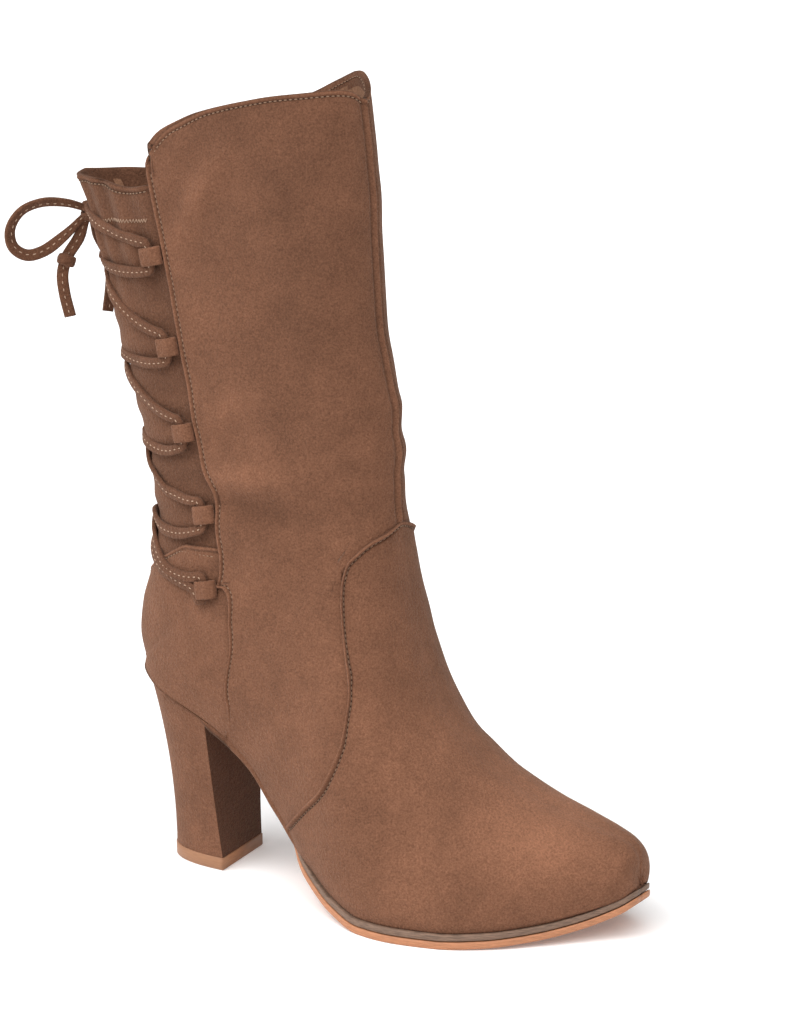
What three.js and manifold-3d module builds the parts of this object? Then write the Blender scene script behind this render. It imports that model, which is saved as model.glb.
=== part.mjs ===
// Back-lace ankle boot on a block heel, for the right foot.
// Millimetres, +Z up, toe to +X, inner side of the foot to +Y, outer side to -Y.
// The origin is the middle of the heel top piece, on the floor.

import * as THREE from "three";
import { mergeVertices } from "three/addons/utils/BufferGeometryUtils.js";
import Module from "manifold-3d";

const wasm = await Module();
wasm.setup();

// Driving sizes of the last and the upper
const LENGTH = 233; // heel point to toe tip, along the edge where upper meets sole
const HEEL_POINT_X = -29.2;
const BALL_WIDTH = 83;
const SEAT_WIDTH = 47.6;
const SEAT_HEIGHT = 84.2; // floor to the heel point of the upper's lower edge
const TOE_SPRING = 15;
const TOE_SWING = 9.4; // how far the toe's middle line lies inward of the heel's
const INSTEP_HEIGHT = 75;
const SHAFT_HEIGHT = 177; // throat of the ankle to the front of the collar
const COLLAR_DEPTH = 140.5; // front to back
const COLLAR_WIDTH = 56.4; // side to side
const WALL = 2;
const VAMP_STEP = 0.8; // how far the vamp stands proud of the side panels
const PANEL_STEP = 1; // how far the side panels stand proud of the back gusset

// Driving sizes of the sole and the heel
const OUTSOLE_THICK = 3.1;
const WELT_THICK = 2.6;
const WELT_WIDTH = 6.5;
const WELT_REACH = 2; // how far the welt stands out past the upper
const SOLE_BEVEL = 0.8;
const INSOLE_THICK = 3;
const HEEL_TOP_THICK = 5.5;
const HEEL_TOP_LENGTH = 31;
const HEEL_TOP_WIDTH = 35;
const BREAST_SKEW = 2; // the outer breast corner lies this far forward of the middle

// Driving sizes of the lacing
const LACE_WIDTH = 5;
const LACE_THICK = 1.8;
const LOOP_HEIGHT = 8.4;
const LOOP_WALL = 1.2;
const LACE_PLAY = 0.6; // room beside the lace in its loop
const KNOT_SIZE = 12;
const END_KNOT_SIZE = 7;
const GAP = 0.3; // clearance between pieces that touch

const SOLE_EDGE = OUTSOLE_THICK + WELT_THICK + 2 * GAP;
const UNDER = "#5c4535";
const SUEDE = { color: "#6f5342", roughness: 0.95, metalness: 0 };
const LACE_SUEDE = { color: "#60463a", roughness: 0.95, metalness: 0 };
const WELT_BROWN = { color: "#6b5a4c", roughness: 0.7, metalness: 0 };
const TAN_SOLE = { color: "#c58657", roughness: 0.55, metalness: 0 };
const LINING = { color: "#a98f74", roughness: 0.85, metalness: 0 };
const COVERED = { color: UNDER, roughness: 0.95, metalness: 0 };

// The sections run from the toe tip, round the heel point, up to the collar, one row each.
// The ridge is the top line of the foot and the front line of the shaft.
// Shares: along of LENGTH, spring of TOE_SPRING, lift of SEAT_HEIGHT over the sole's edge,
// foot of INSTEP_HEIGHT, rise of SHAFT_HEIGHT, mid of TOE_SWING.
const RIDGE = {
  columns: ["along", "spring", "lift", "foot", "rise", "mid"],
  rows: [
    [1, 0.97, 0, 0, 0, 0.957], // toe tip
    [0.996, 0.93, 0, 0.13, 0, 0.957],
    [0.984, 0.79, 0, 0.222, 0, 0.957],
    [0.96, 0.59, 0, 0.31, 0, 0.947], // toe box
    [0.924, 0.37, 0, 0.391, 0, 0.894],
    [0.868, 0.16, 0, 0.484, 0, 0.766],
    [0.799, 0.04, 0, 0.58, 0, 0.574],
    [0.726, 0, 0, 0.713, 0, 0.383], // ball
    [0.653, 0, 0.05, 0.851, 0, 0.255],
    [0.607, 0, 0.2, 0.908, 0, 0.17], // instep
    [0.582, 0, 0.35, 0.959, 0, 0.106],
    [0.567, 0, 0.5, 0.978, 0, 0.064],
    [0.557, 0, 0.62, 1.016, 0, 0.032],
    [0.549, 0, 0.74, 1.035, 0, 0],
    [0.543, 0, 0.86, 1.033, 0, 0],
    [0.539, 0, 0.95, 1.044, 0, 0], // throat
    [0.536, 0, 1, 1, 0.033, 0],
    [0.535, 0, 1, 1, 0.064, 0],
    [0.535, 0, 1, 1, 0.093, 0],
    [0.535, 0, 1, 1, 0.12, 0],
    [0.535, 0, 1, 1, 0.146, 0], // level with the heel point's section
    [0.534, 0, 1, 1, 0.182, 0],
    [0.533, 0, 1, 1, 0.222, 0],
    [0.529, 0, 1, 1, 0.264, 0],
    [0.521, 0, 1, 1, 0.312, 0],
    [0.512, 0, 1, 1, 0.363, 0],
    [0.503, 0, 1, 1, 0.423, 0],
    [0.497, 0, 1, 1, 0.496, 0], // shaft
    [0.494, 0, 1, 1, 0.575, 0],
    [0.491, 0, 1, 1, 0.654, 0],
    [0.488, 0, 1, 1, 0.736, 0],
    [0.483, 0, 1, 1, 0.821, 0],
    [0.475, 0, 1, 1, 0.908, 0],
    [0.464, 0, 1, 1, 0.999, 0], // collar
    [0.454, 0, 1, 1, 1.089, 0],
  ],
};

// The edge is the line where the upper meets the sole, then the back line of the shaft.
// Shares as in RIDGE, and depth of COLLAR_DEPTH, measured back from the ridge.
const EDGE = {
  columns: ["along", "spring", "lift", "foot", "rise", "depth", "mid"],
  rows: [
    [1, 0.97, 0, 0, 0, 0, 0.957], // toe tip
    [0.996, 0.93, 0, 0, 0, 0, 0.957],
    [0.984, 0.79, 0, 0, 0, 0, 0.957],
    [0.96, 0.59, 0, 0, 0, 0, 0.936], // toe box
    [0.924, 0.37, 0, 0, 0, 0, 0.787],
    [0.868, 0.16, 0, 0, 0, 0, 0.319],
    [0.799, 0.04, 0, 0, 0, 0, -0.17],
    [0.726, 0, 0, 0, 0, 0, -0.574], // ball
    [0.649, 0, 0, 0, 0, 0, -0.872],
    [0.58, 0, 0, 0, 0, 0, -1],
    [0.512, 0, 0.044, 0, 0, 0, -0.936],
    [0.452, 0, 0.125, 0, 0, 0, -0.745],
    [0.396, 0, 0.234, 0, 0, 0, -0.511], // waist
    [0.34, 0, 0.4, 0, 0, 0, -0.298],
    [0.28, 0, 0.6, 0, 0, 0, -0.149],
    [0.211, 0, 0.747, 0, 0, 0, -0.064], // front of the seat
    [0.142, 0, 0.841, 0, 0, 0, 0],
    [0.082, 0, 0.911, 0, 0, 0, 0],
    [0.037, 0, 0.962, 0, 0, 0, 0],
    [0.009, 0, 0.987, 0, 0, 0, 0],
    [0, 0, 1, 0, 0, 0, 0], // heel point
    [0.534, 0, 1, 0.144, 0, 0.903, 0],
    [0.533, 0, 1, 0.331, 0, 0.891, 0],
    [0.529, 0, 1, 0.517, 0, 0.853, 0],
    [0.521, 0, 1, 0.704, 0, 0.813, 0], // ankle
    [0.512, 0, 1, 0.891, 0, 0.789, 0],
    [0.503, 0, 1, 1, 0.038, 0.783, 0],
    [0.497, 0, 1, 1, 0.14, 0.801, 0], // shaft
    [0.494, 0, 1, 1, 0.247, 0.835, 0],
    [0.491, 0, 1, 1, 0.355, 0.87, 0],
    [0.488, 0, 1, 1, 0.462, 0.898, 0],
    [0.483, 0, 1, 1, 0.569, 0.92, 0],
    [0.475, 0, 1, 1, 0.666, 0.957, 0],
    [0.464, 0, 1, 1, 0.756, 1, 0], // collar
    [0.454, 0, 1, 1, 0.846, 1.04, 0],
  ],
};

// Half widths: ball and seat at the lower edge, foot and shaft at the widest place.
// full is how square the section is, and seam is where the side seam lies, ridge 0 to edge 1.
const GIRTH = {
  columns: ["ball", "seat", "foot", "shaft", "full", "seam"],
  rows: [
    [0, 0, 0, 0, 2, 0.95], // toe tip
    [0.077, 0, 0.111, 0, 2, 0.95],
    [0.169, 0, 0.231, 0, 2, 0.95],
    [0.26, 0, 0.352, 0, 2.1, 0.95], // toe box
    [0.443, 0, 0.516, 0, 2.2, 0.95],
    [0.646, 0, 0.708, 0, 2.2, 0.95],
    [0.858, 0, 0.901, 0, 2.1, 0.95],
    [0.978, 0, 1.012, 0, 2, 0.95], // ball
    [1, 0, 1.036, 0, 1.95, 0.95],
    [0.94, 0, 1.012, 0, 1.9, 0.95],
    [0.819, 0, 0.964, 0, 1.9, 0.95],
    [0.704, 0, 0.906, 0, 1.9, 0.95],
    [0.612, 0, 0.768, 0.126, 1.95, 0.95], // waist
    [0, 0.966, 0.648, 0.238, 2, 0.95],
    [0, 0.941, 0.547, 0.345, 2.05, 0.95],
    [0, 0.983, 0.457, 0.448, 2.1, 0.885], // front of the seat
    [0, 1, 0.373, 0.55, 2.1, 0.752],
    [0, 0.908, 0.295, 0.651, 2.1, 0.678],
    [0, 0.672, 0.218, 0.75, 2.1, 0.612],
    [0, 0.361, 0.144, 0.845, 2.1, 0.568],
    [0, 0, 0.071, 0.938, 2.1, 0.535], // heel point
    [0, 0, 0, 1.021, 2.1, 0.522],
    [0, 0, 0, 1, 2.1, 0.532],
    [0, 0, 0, 0.979, 2.1, 0.548],
    [0, 0, 0, 0.965, 2.15, 0.566], // ankle
    [0, 0, 0, 0.95, 2.2, 0.592],
    [0, 0, 0, 0.943, 2.25, 0.598],
    [0, 0, 0, 0.943, 2.3, 0.596], // shaft
    [0, 0, 0, 0.943, 2.3, 0.594],
    [0, 0, 0, 0.95, 2.3, 0.589],
    [0, 0, 0, 0.957, 2.3, 0.59],
    [0, 0, 0, 0.972, 2.3, 0.59],
    [0, 0, 0, 0.986, 2.3, 0.583],
    [0, 0, 0, 1, 2.3, 0.555], // collar
    [0, 0, 0, 1.014, 2.3, 0.54],
  ],
};

const WELT_END_ROW = 12.6; // the welt ends at the waist
const SEAT_ROW = 15.45; // the heel's breast
const HEEL_POINT_ROW = 20;

// The vamp's rolled edge, by its place round the section: share from the ridge, and row.
const VAMP_EDGE = {
  columns: ["share", "row"],
  rows: [
    [0, 15],
    [0.12, 14.85],
    [0.24, 15.05],
    [0.31, 15.05],
    [0.35, 14.7],
    [0.385, 13.9],
    [0.43, 12.1],
    [0.47, 11.4],
    [0.56, 10.95],
    [0.68, 11.1],
    [0.85, 11.9],
    [1, 12.5],
  ],
};

// The topline: share of the panel from ridge to seam, and row, outer and inner side.
const PANEL_TOP = {
  columns: ["share", "outer", "inner"],
  rows: [
    [0, 32.8, 32.8],
    [0.12, 32.75, 32.9],
    [0.4, 32.95, 33.2],
    [0.6, 33.15, 33.43],
    [0.85, 33.28, 33.3],
    [0.93, 33.05, 33.05],
    [0.98, 32.85, 32.85],
    [1, 32.55, 32.55],
  ],
};

// The gusset's lower topline: share of the gusset from seam to back line, and row.
const GUSSET_TOP = {
  columns: ["share", "row"],
  rows: [
    [0, 31.93],
    [0.15, 32.02],
    [0.38, 32.42],
    [0.63, 32.68],
    [1, 32.85],
  ],
};

// The middle of each pair of lace loops, from the top pair down, as a row of the sections.
const LOOP_ROWS = [30.33, 28.24, 26.25, 23.1, 19.6];

// Slopes of a smooth curve that never overshoots its points.
function slopes(xs, ys) {
  const steps = ys.slice(1).map((y, i) => (y - ys[i]) / (xs[i + 1] - xs[i]));
  const inner = steps.slice(1).map((d, i) => {
    const flat = steps[i] * d <= 0;
    return flat ? 0 : (2 * steps[i] * d) / (steps[i] + d);
  });
  const first = inner.length ? (3 * steps[0] - inner[0]) / 2 : steps[0];
  const last = inner.length ? (3 * steps.at(-1) - inner.at(-1)) / 2 : steps[0];
  return [first, ...inner, last];
}

// A function of x that passes smoothly through the points.
function curve(xs, ys) {
  const m = slopes(xs, ys);
  return (x) => {
    const at = Math.min(Math.max(x, xs[0]), xs.at(-1));
    let i = 0;
    while (i < xs.length - 2 && at > xs[i + 1]) i++;
    const width = xs[i + 1] - xs[i];
    const t = (at - xs[i]) / width;
    const u = 1 - t;
    return (
      ys[i] * (1 + 2 * t) * u * u +
      m[i] * width * t * u * u +
      ys[i + 1] * t * t * (3 - 2 * t) -
      m[i + 1] * width * t * t * u
    );
  };
}

// The named columns of a table as functions of the row number.
function byRow(table) {
  const numbers = table.rows.map((_, i) => i);
  const pairs = table.columns.map((name, c) => [
    name,
    curve(numbers, table.rows.map((row) => row[c])),
  ]);
  return Object.fromEntries(pairs);
}

// The named columns of a table as functions of its first column.
function byFirst(table) {
  const xs = table.rows.map((row) => row[0]);
  const pairs = table.columns.slice(1).map((name, c) => [
    name,
    curve(xs, table.rows.map((row) => row[c + 1])),
  ]);
  return Object.fromEntries(pairs);
}

const ridge = byRow(RIDGE);
const edge = byRow(EDGE);
const girth = byRow(GIRTH);
const vampEdge = byFirst(VAMP_EDGE).row;
const panelTop = byFirst(PANEL_TOP);
const gussetTop = byFirst(GUSSET_TOP).row;
const LAST_ROW = RIDGE.rows.length - 1;

function heightOf(line, s) {
  return (
    SOLE_EDGE +
    line.spring(s) * TOE_SPRING +
    line.lift(s) * (SEAT_HEIGHT - SOLE_EDGE) +
    line.foot(s) * INSTEP_HEIGHT +
    line.rise(s) * SHAFT_HEIGHT
  );
}

function ridgePoint(s) {
  const x = HEEL_POINT_X + ridge.along(s) * LENGTH;
  return new THREE.Vector3(x, ridge.mid(s) * TOE_SWING, heightOf(ridge, s));
}

function edgePoint(s) {
  const x = HEEL_POINT_X + edge.along(s) * LENGTH - edge.depth(s) * COLLAR_DEPTH;
  return new THREE.Vector3(x, edge.mid(s) * TOE_SWING, heightOf(edge, s));
}

// Half the width at the lower edge, which closes at the heel point.
function edgeHalf(s) {
  if (s >= HEEL_POINT_ROW) return 0;
  return (girth.ball(s) * BALL_WIDTH + girth.seat(s) * SEAT_WIDTH) / 2;
}

// Half the width at the widest place of the section.
function widestHalf(s) {
  return (girth.foot(s) * BALL_WIDTH + girth.shaft(s) * COLLAR_WIDTH) / 2;
}

const signedPower = (v, e) => Math.sign(v) * Math.abs(v) ** e;

// A point of the upper's outer form. round is 0 at the ridge and 1 at the edge,
// negative on the outer side of the foot.
function lastPoint(s, round) {
  const top = ridgePoint(s);
  const low = edgePoint(s);
  const wide = widestHalf(s);
  const e = 2 / girth.full(s);
  const narrow = wide > 0 ? Math.min(edgeHalf(s) / wide, 1) : 0;
  const end = Math.PI - Math.asin(narrow ** (1 / e));
  const angle = Math.abs(round) * end;
  const down = (1 - signedPower(Math.cos(angle), e)) / (1 - signedPower(Math.cos(end), e));
  const out = wide * Math.abs(Math.sin(angle)) ** e;
  const p = top.lerp(low, down);
  p.y += Math.sign(round) * out;
  return p;
}

// Past the back line a place round the section comes back on the other side.
function wrapped(s, round) {
  if (s < HEEL_POINT_ROW) return Math.min(Math.max(round, -1), 1);
  if (round > 1) return round - 2;
  if (round < -1) return round + 2;
  return round;
}

const STEP_S = 0.02;
const STEP_ROUND = 0.004;

// The outward normal of that form.
function lastNormal(s, round) {
  const row = Math.max(s, STEP_S);
  const along = lastPoint(row + STEP_S, round).sub(lastPoint(row - STEP_S / 2, round));
  const over = lastPoint(row, wrapped(row, round + STEP_ROUND));
  const under = lastPoint(row, wrapped(row, round - STEP_ROUND));
  const n = over.sub(under).cross(along).normalize();
  const core = ridgePoint(row).lerp(edgePoint(row), 0.5);
  return n.dot(lastPoint(row, round).sub(core)) < 0 ? n.negate() : n;
}

const smooth = (a, b, x) => THREE.MathUtils.smoothstep(x, a, b);

// A closed solid from a list of triangles, each three points, facing outward.
function solidMesh(triangles) {
  const flat = triangles.flatMap((t) => t.flatMap((p) => [p.x, p.y, p.z]));
  const loose = new THREE.BufferGeometry();
  loose.setAttribute("position", new THREE.Float32BufferAttribute(flat, 3));
  const merged = mergeVertices(loose, 1e-4);
  const index = merged.index.array;
  const kept = [];
  for (let i = 0; i < index.length; i += 3) {
    const [a, b, c] = [index[i], index[i + 1], index[i + 2]];
    if (a !== b && b !== c && c !== a) kept.push(a, b, c);
  }
  merged.setIndex(kept);
  return merged;
}

// Two triangles for four points in order round a quad.
const quad = (a, b, c, d) => [
  [a, b, c],
  [a, c, d],
];

// Turns a list of triangles inside out.
const flipped = (triangles) => triangles.map(([a, b, c]) => [a, c, b]);

// Signed volume of a list of triangles.
function volumeOf(triangles) {
  const sum = triangles.reduce((v, [a, b, c]) => v + a.dot(b.clone().cross(c)), 0);
  return sum / 6;
}

// A solid whose faces all point outward, whichever way round its rings were given.
function closed(triangles) {
  return solidMesh(volumeOf(triangles) < 0 ? flipped(triangles) : triangles);
}

// A tube of equal rings. An end has a flat lid, unless its ring is folded together.
function tube(rings) {
  const count = rings[0].length;
  const triangles = [];
  for (let i = 0; i + 1 < rings.length; i++) {
    for (let j = 0; j < count; j++) {
      const k = (j + 1) % count;
      triangles.push(...quad(rings[i][j], rings[i][k], rings[i + 1][k], rings[i + 1][j]));
    }
  }
  const lid = (ring) => {
    const folded = ring[0].distanceTo(ring[count - 1]) < GAP / 10;
    return folded ? [] : spread(1, count - 2, count - 3).map((j) => [ring[0], ring[j], ring[j + 1]]);
  };
  return closed([...triangles, ...flipped(lid(rings[0])), ...lid(rings.at(-1))]);
}

function toManifold(geometry) {
  return new wasm.Manifold(
    new wasm.Mesh({
      numProp: 3,
      vertProperties: geometry.attributes.position.array,
      triVerts: new Uint32Array(geometry.index.array),
    }),
  );
}

function fromManifold(solid) {
  const mesh = solid.getMesh();
  const geometry = new THREE.BufferGeometry();
  const position = new THREE.BufferAttribute(new Float32Array(mesh.vertProperties), 3);
  geometry.setAttribute("position", position);
  geometry.setIndex(new THREE.BufferAttribute(new Uint32Array(mesh.triVerts), 1));
  return geometry;
}

const boot = new THREE.Group();

function add(name, geometry, finish) {
  geometry.computeVertexNormals();
  const material = new THREE.MeshStandardMaterial({ ...finish, side: THREE.DoubleSide });
  const mesh = new THREE.Mesh(geometry, material);
  mesh.name = name;
  boot.add(mesh);
}

// Numbers from a to b in equal steps, both ends included.
const spread = (a, b, count) =>
  Array.from({ length: count + 1 }, (_, i) => a + ((b - a) * i) / count);

// Grid of the upper: places round half a section, and rows in three stretches.
const PANEL_COLUMNS = 13;
const GUSSET_COLUMNS = 6;
const VAMP_ROWS = 13;
const QUARTER_ROWS = 9;
const SHAFT_ROWS = 14;
const TOE_CROWDING = 1.5; // rows lie closer together toward the toe tip
const HEEL_CROWDING = 1.25; // and toward the heel point
const SEAM_HALF = 0.002; // half the width of a step's riser, in shares round the section
const EDGE_HALF = 0.03; // half the width of the vamp edge's riser, in rows
const EDGE_BLEND = 0.08; // share of the section, at its lower edge, without full steps
const STEP_START = 14.2; // the gusset's step fades out below here
const STEP_FULL = 15.6;

// The panel's columns run from the ridge to the seam, the gusset's from there to the edge.
function columnPlaces() {
  const panel = spread(0, 1, PANEL_COLUMNS).map((share) => ({ panel: true, share }));
  const gusset = spread(0, 1, GUSSET_COLUMNS).map((share) => ({ panel: false, share }));
  return [...panel, ...gusset];
}

function roundOf(column, s) {
  const seam = girth.seam(s);
  if (column.panel) return column.share * (seam - SEAM_HALF);
  return seam + SEAM_HALF + column.share * (1 - seam - SEAM_HALF);
}

function topRow(column, side) {
  if (!column.panel) return gussetTop(column.share);
  return side < 0 ? panelTop.outer(column.share) : panelTop.inner(column.share);
}

// The rows of one column, with whether each lies on the vamp.
function columnRows(column, side) {
  const nearRow = vampEdge(roundOf(column, VAMP_ROWS));
  const split = vampEdge(roundOf(column, nearRow));
  const top = topRow(column, side);
  const toe = spread(0, 1, VAMP_ROWS).map((t) => ({
    s: (split - EDGE_HALF) * t ** TOE_CROWDING,
    vamp: true,
  }));
  const quarterSpan = HEEL_POINT_ROW - split - EDGE_HALF;
  const quarter = spread(1, 0, QUARTER_ROWS).map(
    (t) => HEEL_POINT_ROW - quarterSpan * t ** HEEL_CROWDING,
  );
  const shaft = spread(HEEL_POINT_ROW, top, SHAFT_ROWS).slice(1);
  return [...toe, ...[...quarter, ...shaft].map((s) => ({ s, vamp: false }))];
}

// How far the outside stands out from the base form. It comes back to it at the lower edge.
function proud(column, s, vamp) {
  const step = column.panel ? 0 : -PANEL_STEP * smooth(STEP_START, STEP_FULL, s);
  const held = s < HEEL_POINT_ROW ? smooth(0, EDGE_BLEND, 1 - roundOf(column, s)) : 1;
  return (vamp ? VAMP_STEP : step) * held;
}

// The wall's outer and inner point at one place. On the lower edge it is level across.
function wallPair(column, side, s, vamp) {
  const atEnd = !column.panel && column.share === 1;
  if (s === 0 || (atEnd && s <= HEEL_POINT_ROW)) {
    return { outer: bedPoint(s, side, 0, 0), inner: bedPoint(s, side, -WALL, 0) };
  }
  const round = side * roundOf(column, s);
  const base = lastPoint(s, round);
  const normal = lastNormal(s, round);
  if (atEnd) normal.setY(0).normalize();
  const outer = base.clone().addScaledVector(normal, proud(column, s, vamp));
  const inner = base.clone().addScaledVector(normal, -WALL);
  return { outer, inner };
}

function upperGeometry() {
  const half = (side) =>
    columnPlaces().map((column) =>
      columnRows(column, side).map(({ s, vamp }) => wallPair(column, side, s, vamp)),
    );
  const outerSide = half(-1);
  const innerSide = half(1);
  const columns = [...outerSide.reverse(), ...innerSide.slice(1)];
  const rows = columns[0].length;
  const heelRow = VAMP_ROWS + 1 + QUARTER_ROWS;
  const last = columns.length - 1;
  const triangles = [];
  for (let j = 0; j < last; j++) {
    for (let k = 0; k + 1 < rows; k++) {
      const [a, b] = [columns[j][k], columns[j + 1][k]];
      const [c, d] = [columns[j + 1][k + 1], columns[j][k + 1]];
      const skin = (face) =>
        j < last / 2
          ? quad(a[face], b[face], c[face], d[face])
          : flipped(quad(b[face], a[face], d[face], c[face]));
      triangles.push(...skin("outer"), ...flipped(skin("inner")));
    }
    const [a, b] = [columns[j].at(-1), columns[j + 1].at(-1)];
    triangles.push(...quad(a.outer, b.outer, b.inner, a.inner));
  }
  for (let k = 0; k < heelRow; k++) {
    const [a, b] = [columns[0][k], columns[0][k + 1]];
    triangles.push(...quad(a.outer, b.outer, b.inner, a.inner));
    const [c, d] = [columns[last][k], columns[last][k + 1]];
    triangles.push(...quad(d.outer, c.outer, c.inner, d.inner));
  }
  return closed(triangles);
}

// A point of the upper's lower edge moved outward in plan by a distance.
function outlinePoint(s, side, outward, z) {
  const e = edgePoint(s);
  const before = edgePoint(Math.max(s - STEP_S, 0));
  const after = edgePoint(Math.min(s + STEP_S, HEEL_POINT_ROW));
  const fore = edgeHalf(Math.max(s - STEP_S, 0));
  const aft = edgeHalf(Math.min(s + STEP_S, HEEL_POINT_ROW - STEP_S / 100));
  const run = new THREE.Vector2(after.x - before.x, after.y - before.y + side * (aft - fore));
  const normal = new THREE.Vector2(-run.y, run.x).normalize().multiplyScalar(-side);
  if (s === 0) normal.set(1, 0);
  if (s === HEEL_POINT_ROW) normal.set(-1, 0);
  const y = e.y + side * edgeHalf(s) + normal.y * outward;
  return new THREE.Vector3(e.x + normal.x * outward, y, z);
}

const edgeZ = (s) => heightOf(edge, s);
const edgeX = (s) => edgePoint(s).x;

// The row between two others at which a steady function of the row has a value.
function rowWhere(value, want, from, to) {
  const rising = value(to) > value(from);
  let [low, high] = [from, to];
  for (let i = 0; i < 40; i++) {
    const middle = (low + high) / 2;
    if (value(middle) < want === rising) low = middle;
    else high = middle;
  }
  return (low + high) / 2;
}

// Height of the line where upper and sole meet, the same all the way across the foot.
const bedZ = (x) => edgeZ(rowWhere(edgeX, x, 0, HEEL_POINT_ROW));

// The same outline point, at a height over that line.
function bedPoint(s, side, outward, over) {
  const p = outlinePoint(s, side, outward, 0);
  return p.setZ(bedZ(p.x) + over);
}

// The sole's edge stands out in the forefoot and draws in under the waist.
function soleReach(s) {
  return WELT_REACH - (WELT_REACH + 1) * smooth(10.6, 13.2, s);
}

// The rows of the upper's lower edge, which the pieces under it share.
const EDGE_COLUMN = { panel: false, share: 1 };
const RIM_ROWS = columnRows(EDGE_COLUMN, 1)
  .map(({ s }) => s)
  .filter((s) => s <= HEEL_POINT_ROW);
const FOOT_ROWS = RIM_ROWS.filter((s) => s < SEAT_ROW - EDGE_HALF);
const SEAT_ROWS = [SEAT_ROW, ...RIM_ROWS.filter((s) => s > SEAT_ROW + EDGE_HALF)];
const OUTSOLE_END_ROW = rowWhere(edgeX, edgeX(SEAT_ROW) + 2 * GAP, 0, HEEL_POINT_ROW);

// The outsole has a rebate along its edge, where the welt sits.
function outsoleGeometry() {
  const bottom = -SOLE_EDGE;
  const shelf = bottom + OUTSOLE_THICK;
  const bed = -GAP;
  const rings = [...FOOT_ROWS, OUTSOLE_END_ROW].map((s) => {
    const reach = soleReach(s);
    const inset = reach - WELT_WIDTH - GAP;
    const at = (side, outward, over) => bedPoint(s, side, outward, over);
    return [
      at(-1, reach - SOLE_BEVEL, bottom),
      at(-1, reach, bottom + SOLE_BEVEL),
      at(-1, reach, shelf),
      at(-1, inset, shelf),
      at(-1, inset, bed),
      at(1, inset, bed),
      at(1, inset, shelf),
      at(1, reach, shelf),
      at(1, reach, bottom + SOLE_BEVEL),
      at(1, reach - SOLE_BEVEL, bottom),
    ];
  });
  return tube(rings);
}

// The welt runs from the waist round the toe to the waist.
function weltGeometry() {
  const oneSide = FOOT_ROWS.filter((s) => s > 0 && s < WELT_END_ROW);
  const top = -GAP;
  const bottom = top - WELT_THICK;
  const section = (s, side) => {
    const reach = soleReach(s);
    return [
      bedPoint(s, side, reach, bottom),
      bedPoint(s, side, reach, top),
      bedPoint(s, side, 0, top),
      bedPoint(s, side, -WALL, top),
      bedPoint(s, side, reach - WELT_WIDTH, top),
      bedPoint(s, side, reach - WELT_WIDTH, bottom),
    ];
  };
  const outer = oneSide.map((s) => section(s, -1)).reverse();
  const inner = oneSide.map((s) => section(s, 1));
  return tube([...outer, section(0, 1), ...inner]);
}

// The insole lies inside the upper, on the outsole and the heel.
function insoleGeometry() {
  const inset = -WALL - 2 * GAP;
  const rings = [...FOOT_ROWS, ...SEAT_ROWS].map((s) => [
    bedPoint(s, -1, inset, 0),
    bedPoint(s, -1, inset, INSOLE_THICK),
    bedPoint(s, 1, inset, INSOLE_THICK),
    bedPoint(s, 1, inset, 0),
  ]);
  return tube(rings);
}

const HEEL_SQUARENESS = 2.6;

// The outline of the heel at the floor, from the outer breast corner round the back.
function heelFootPoint(turn, grow, z) {
  const e = 2 / HEEL_SQUARENESS;
  const angle = (turn * Math.PI) / 2;
  const y = (HEEL_TOP_WIDTH / 2 + grow) * signedPower(Math.sin(angle), e);
  const back = (HEEL_TOP_LENGTH + 2 * grow) * Math.abs(Math.cos(angle)) ** e;
  const skew = (-BREAST_SKEW * y) / (HEEL_TOP_WIDTH / 2);
  return new THREE.Vector3(HEEL_TOP_LENGTH / 2 + grow + skew - back, y, z);
}

const HEEL_LEVELS = 8;

// Places round the heel: -1 and 1 at the breast's outer and inner corner, 0 at the back.
const rowTurn = (s) => (HEEL_POINT_ROW - s) / (HEEL_POINT_ROW - SEAT_ROW);
const HEEL_TURNS = [
  ...SEAT_ROWS.map((s) => -rowTurn(s)),
  ...SEAT_ROWS.slice(0, -1).reverse().map(rowTurn),
];

// Rings of the heel from the seat down, each open at the breast.
function heelGeometry() {
  const foot = HEEL_TOP_THICK + GAP;
  const seatPoint = (turn) => {
    const s = HEEL_POINT_ROW - (HEEL_POINT_ROW - SEAT_ROW) * Math.abs(turn);
    return bedPoint(s, Math.sign(turn) || 1, -GAP, -GAP);
  };
  const levels = spread(0, 1, HEEL_LEVELS).map((t) => {
    const drawn = 1 - (1 - t) ** 2;
    return HEEL_TURNS.map((turn) => {
      const top = seatPoint(turn);
      const low = heelFootPoint(turn, 0, foot);
      const p = top.clone().lerp(low, drawn);
      const forward = THREE.MathUtils.lerp(drawn, t * t, turn ** 4);
      p.x = THREE.MathUtils.lerp(top.x, low.x, forward);
      p.z = THREE.MathUtils.lerp(top.z, foot, t);
      return p;
    });
  });
  const triangles = [];
  const last = HEEL_TURNS.length - 1;
  for (let i = 0; i < HEEL_LEVELS; i++) {
    for (let j = 0; j < last; j++) {
      triangles.push(...quad(levels[i][j], levels[i][j + 1], levels[i + 1][j + 1], levels[i + 1][j]));
    }
    triangles.push(...quad(levels[i][last], levels[i][0], levels[i + 1][0], levels[i + 1][last]));
  }
  for (let j = 0; j < last / 2; j++) {
    const [top, low] = [levels[0], levels.at(-1)];
    triangles.push(...quad(top[j], top[last - j], top[last - j - 1], top[j + 1]));
    triangles.push(...quad(low[j], low[j + 1], low[last - j - 1], low[last - j]));
  }
  return closed(triangles);
}

function heelTopPieceGeometry() {
  const ring = (z) => HEEL_TURNS.map((turn) => heelFootPoint(turn, GAP, z));
  return tube([ring(0), ring(HEEL_TOP_THICK)]);
}

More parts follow.
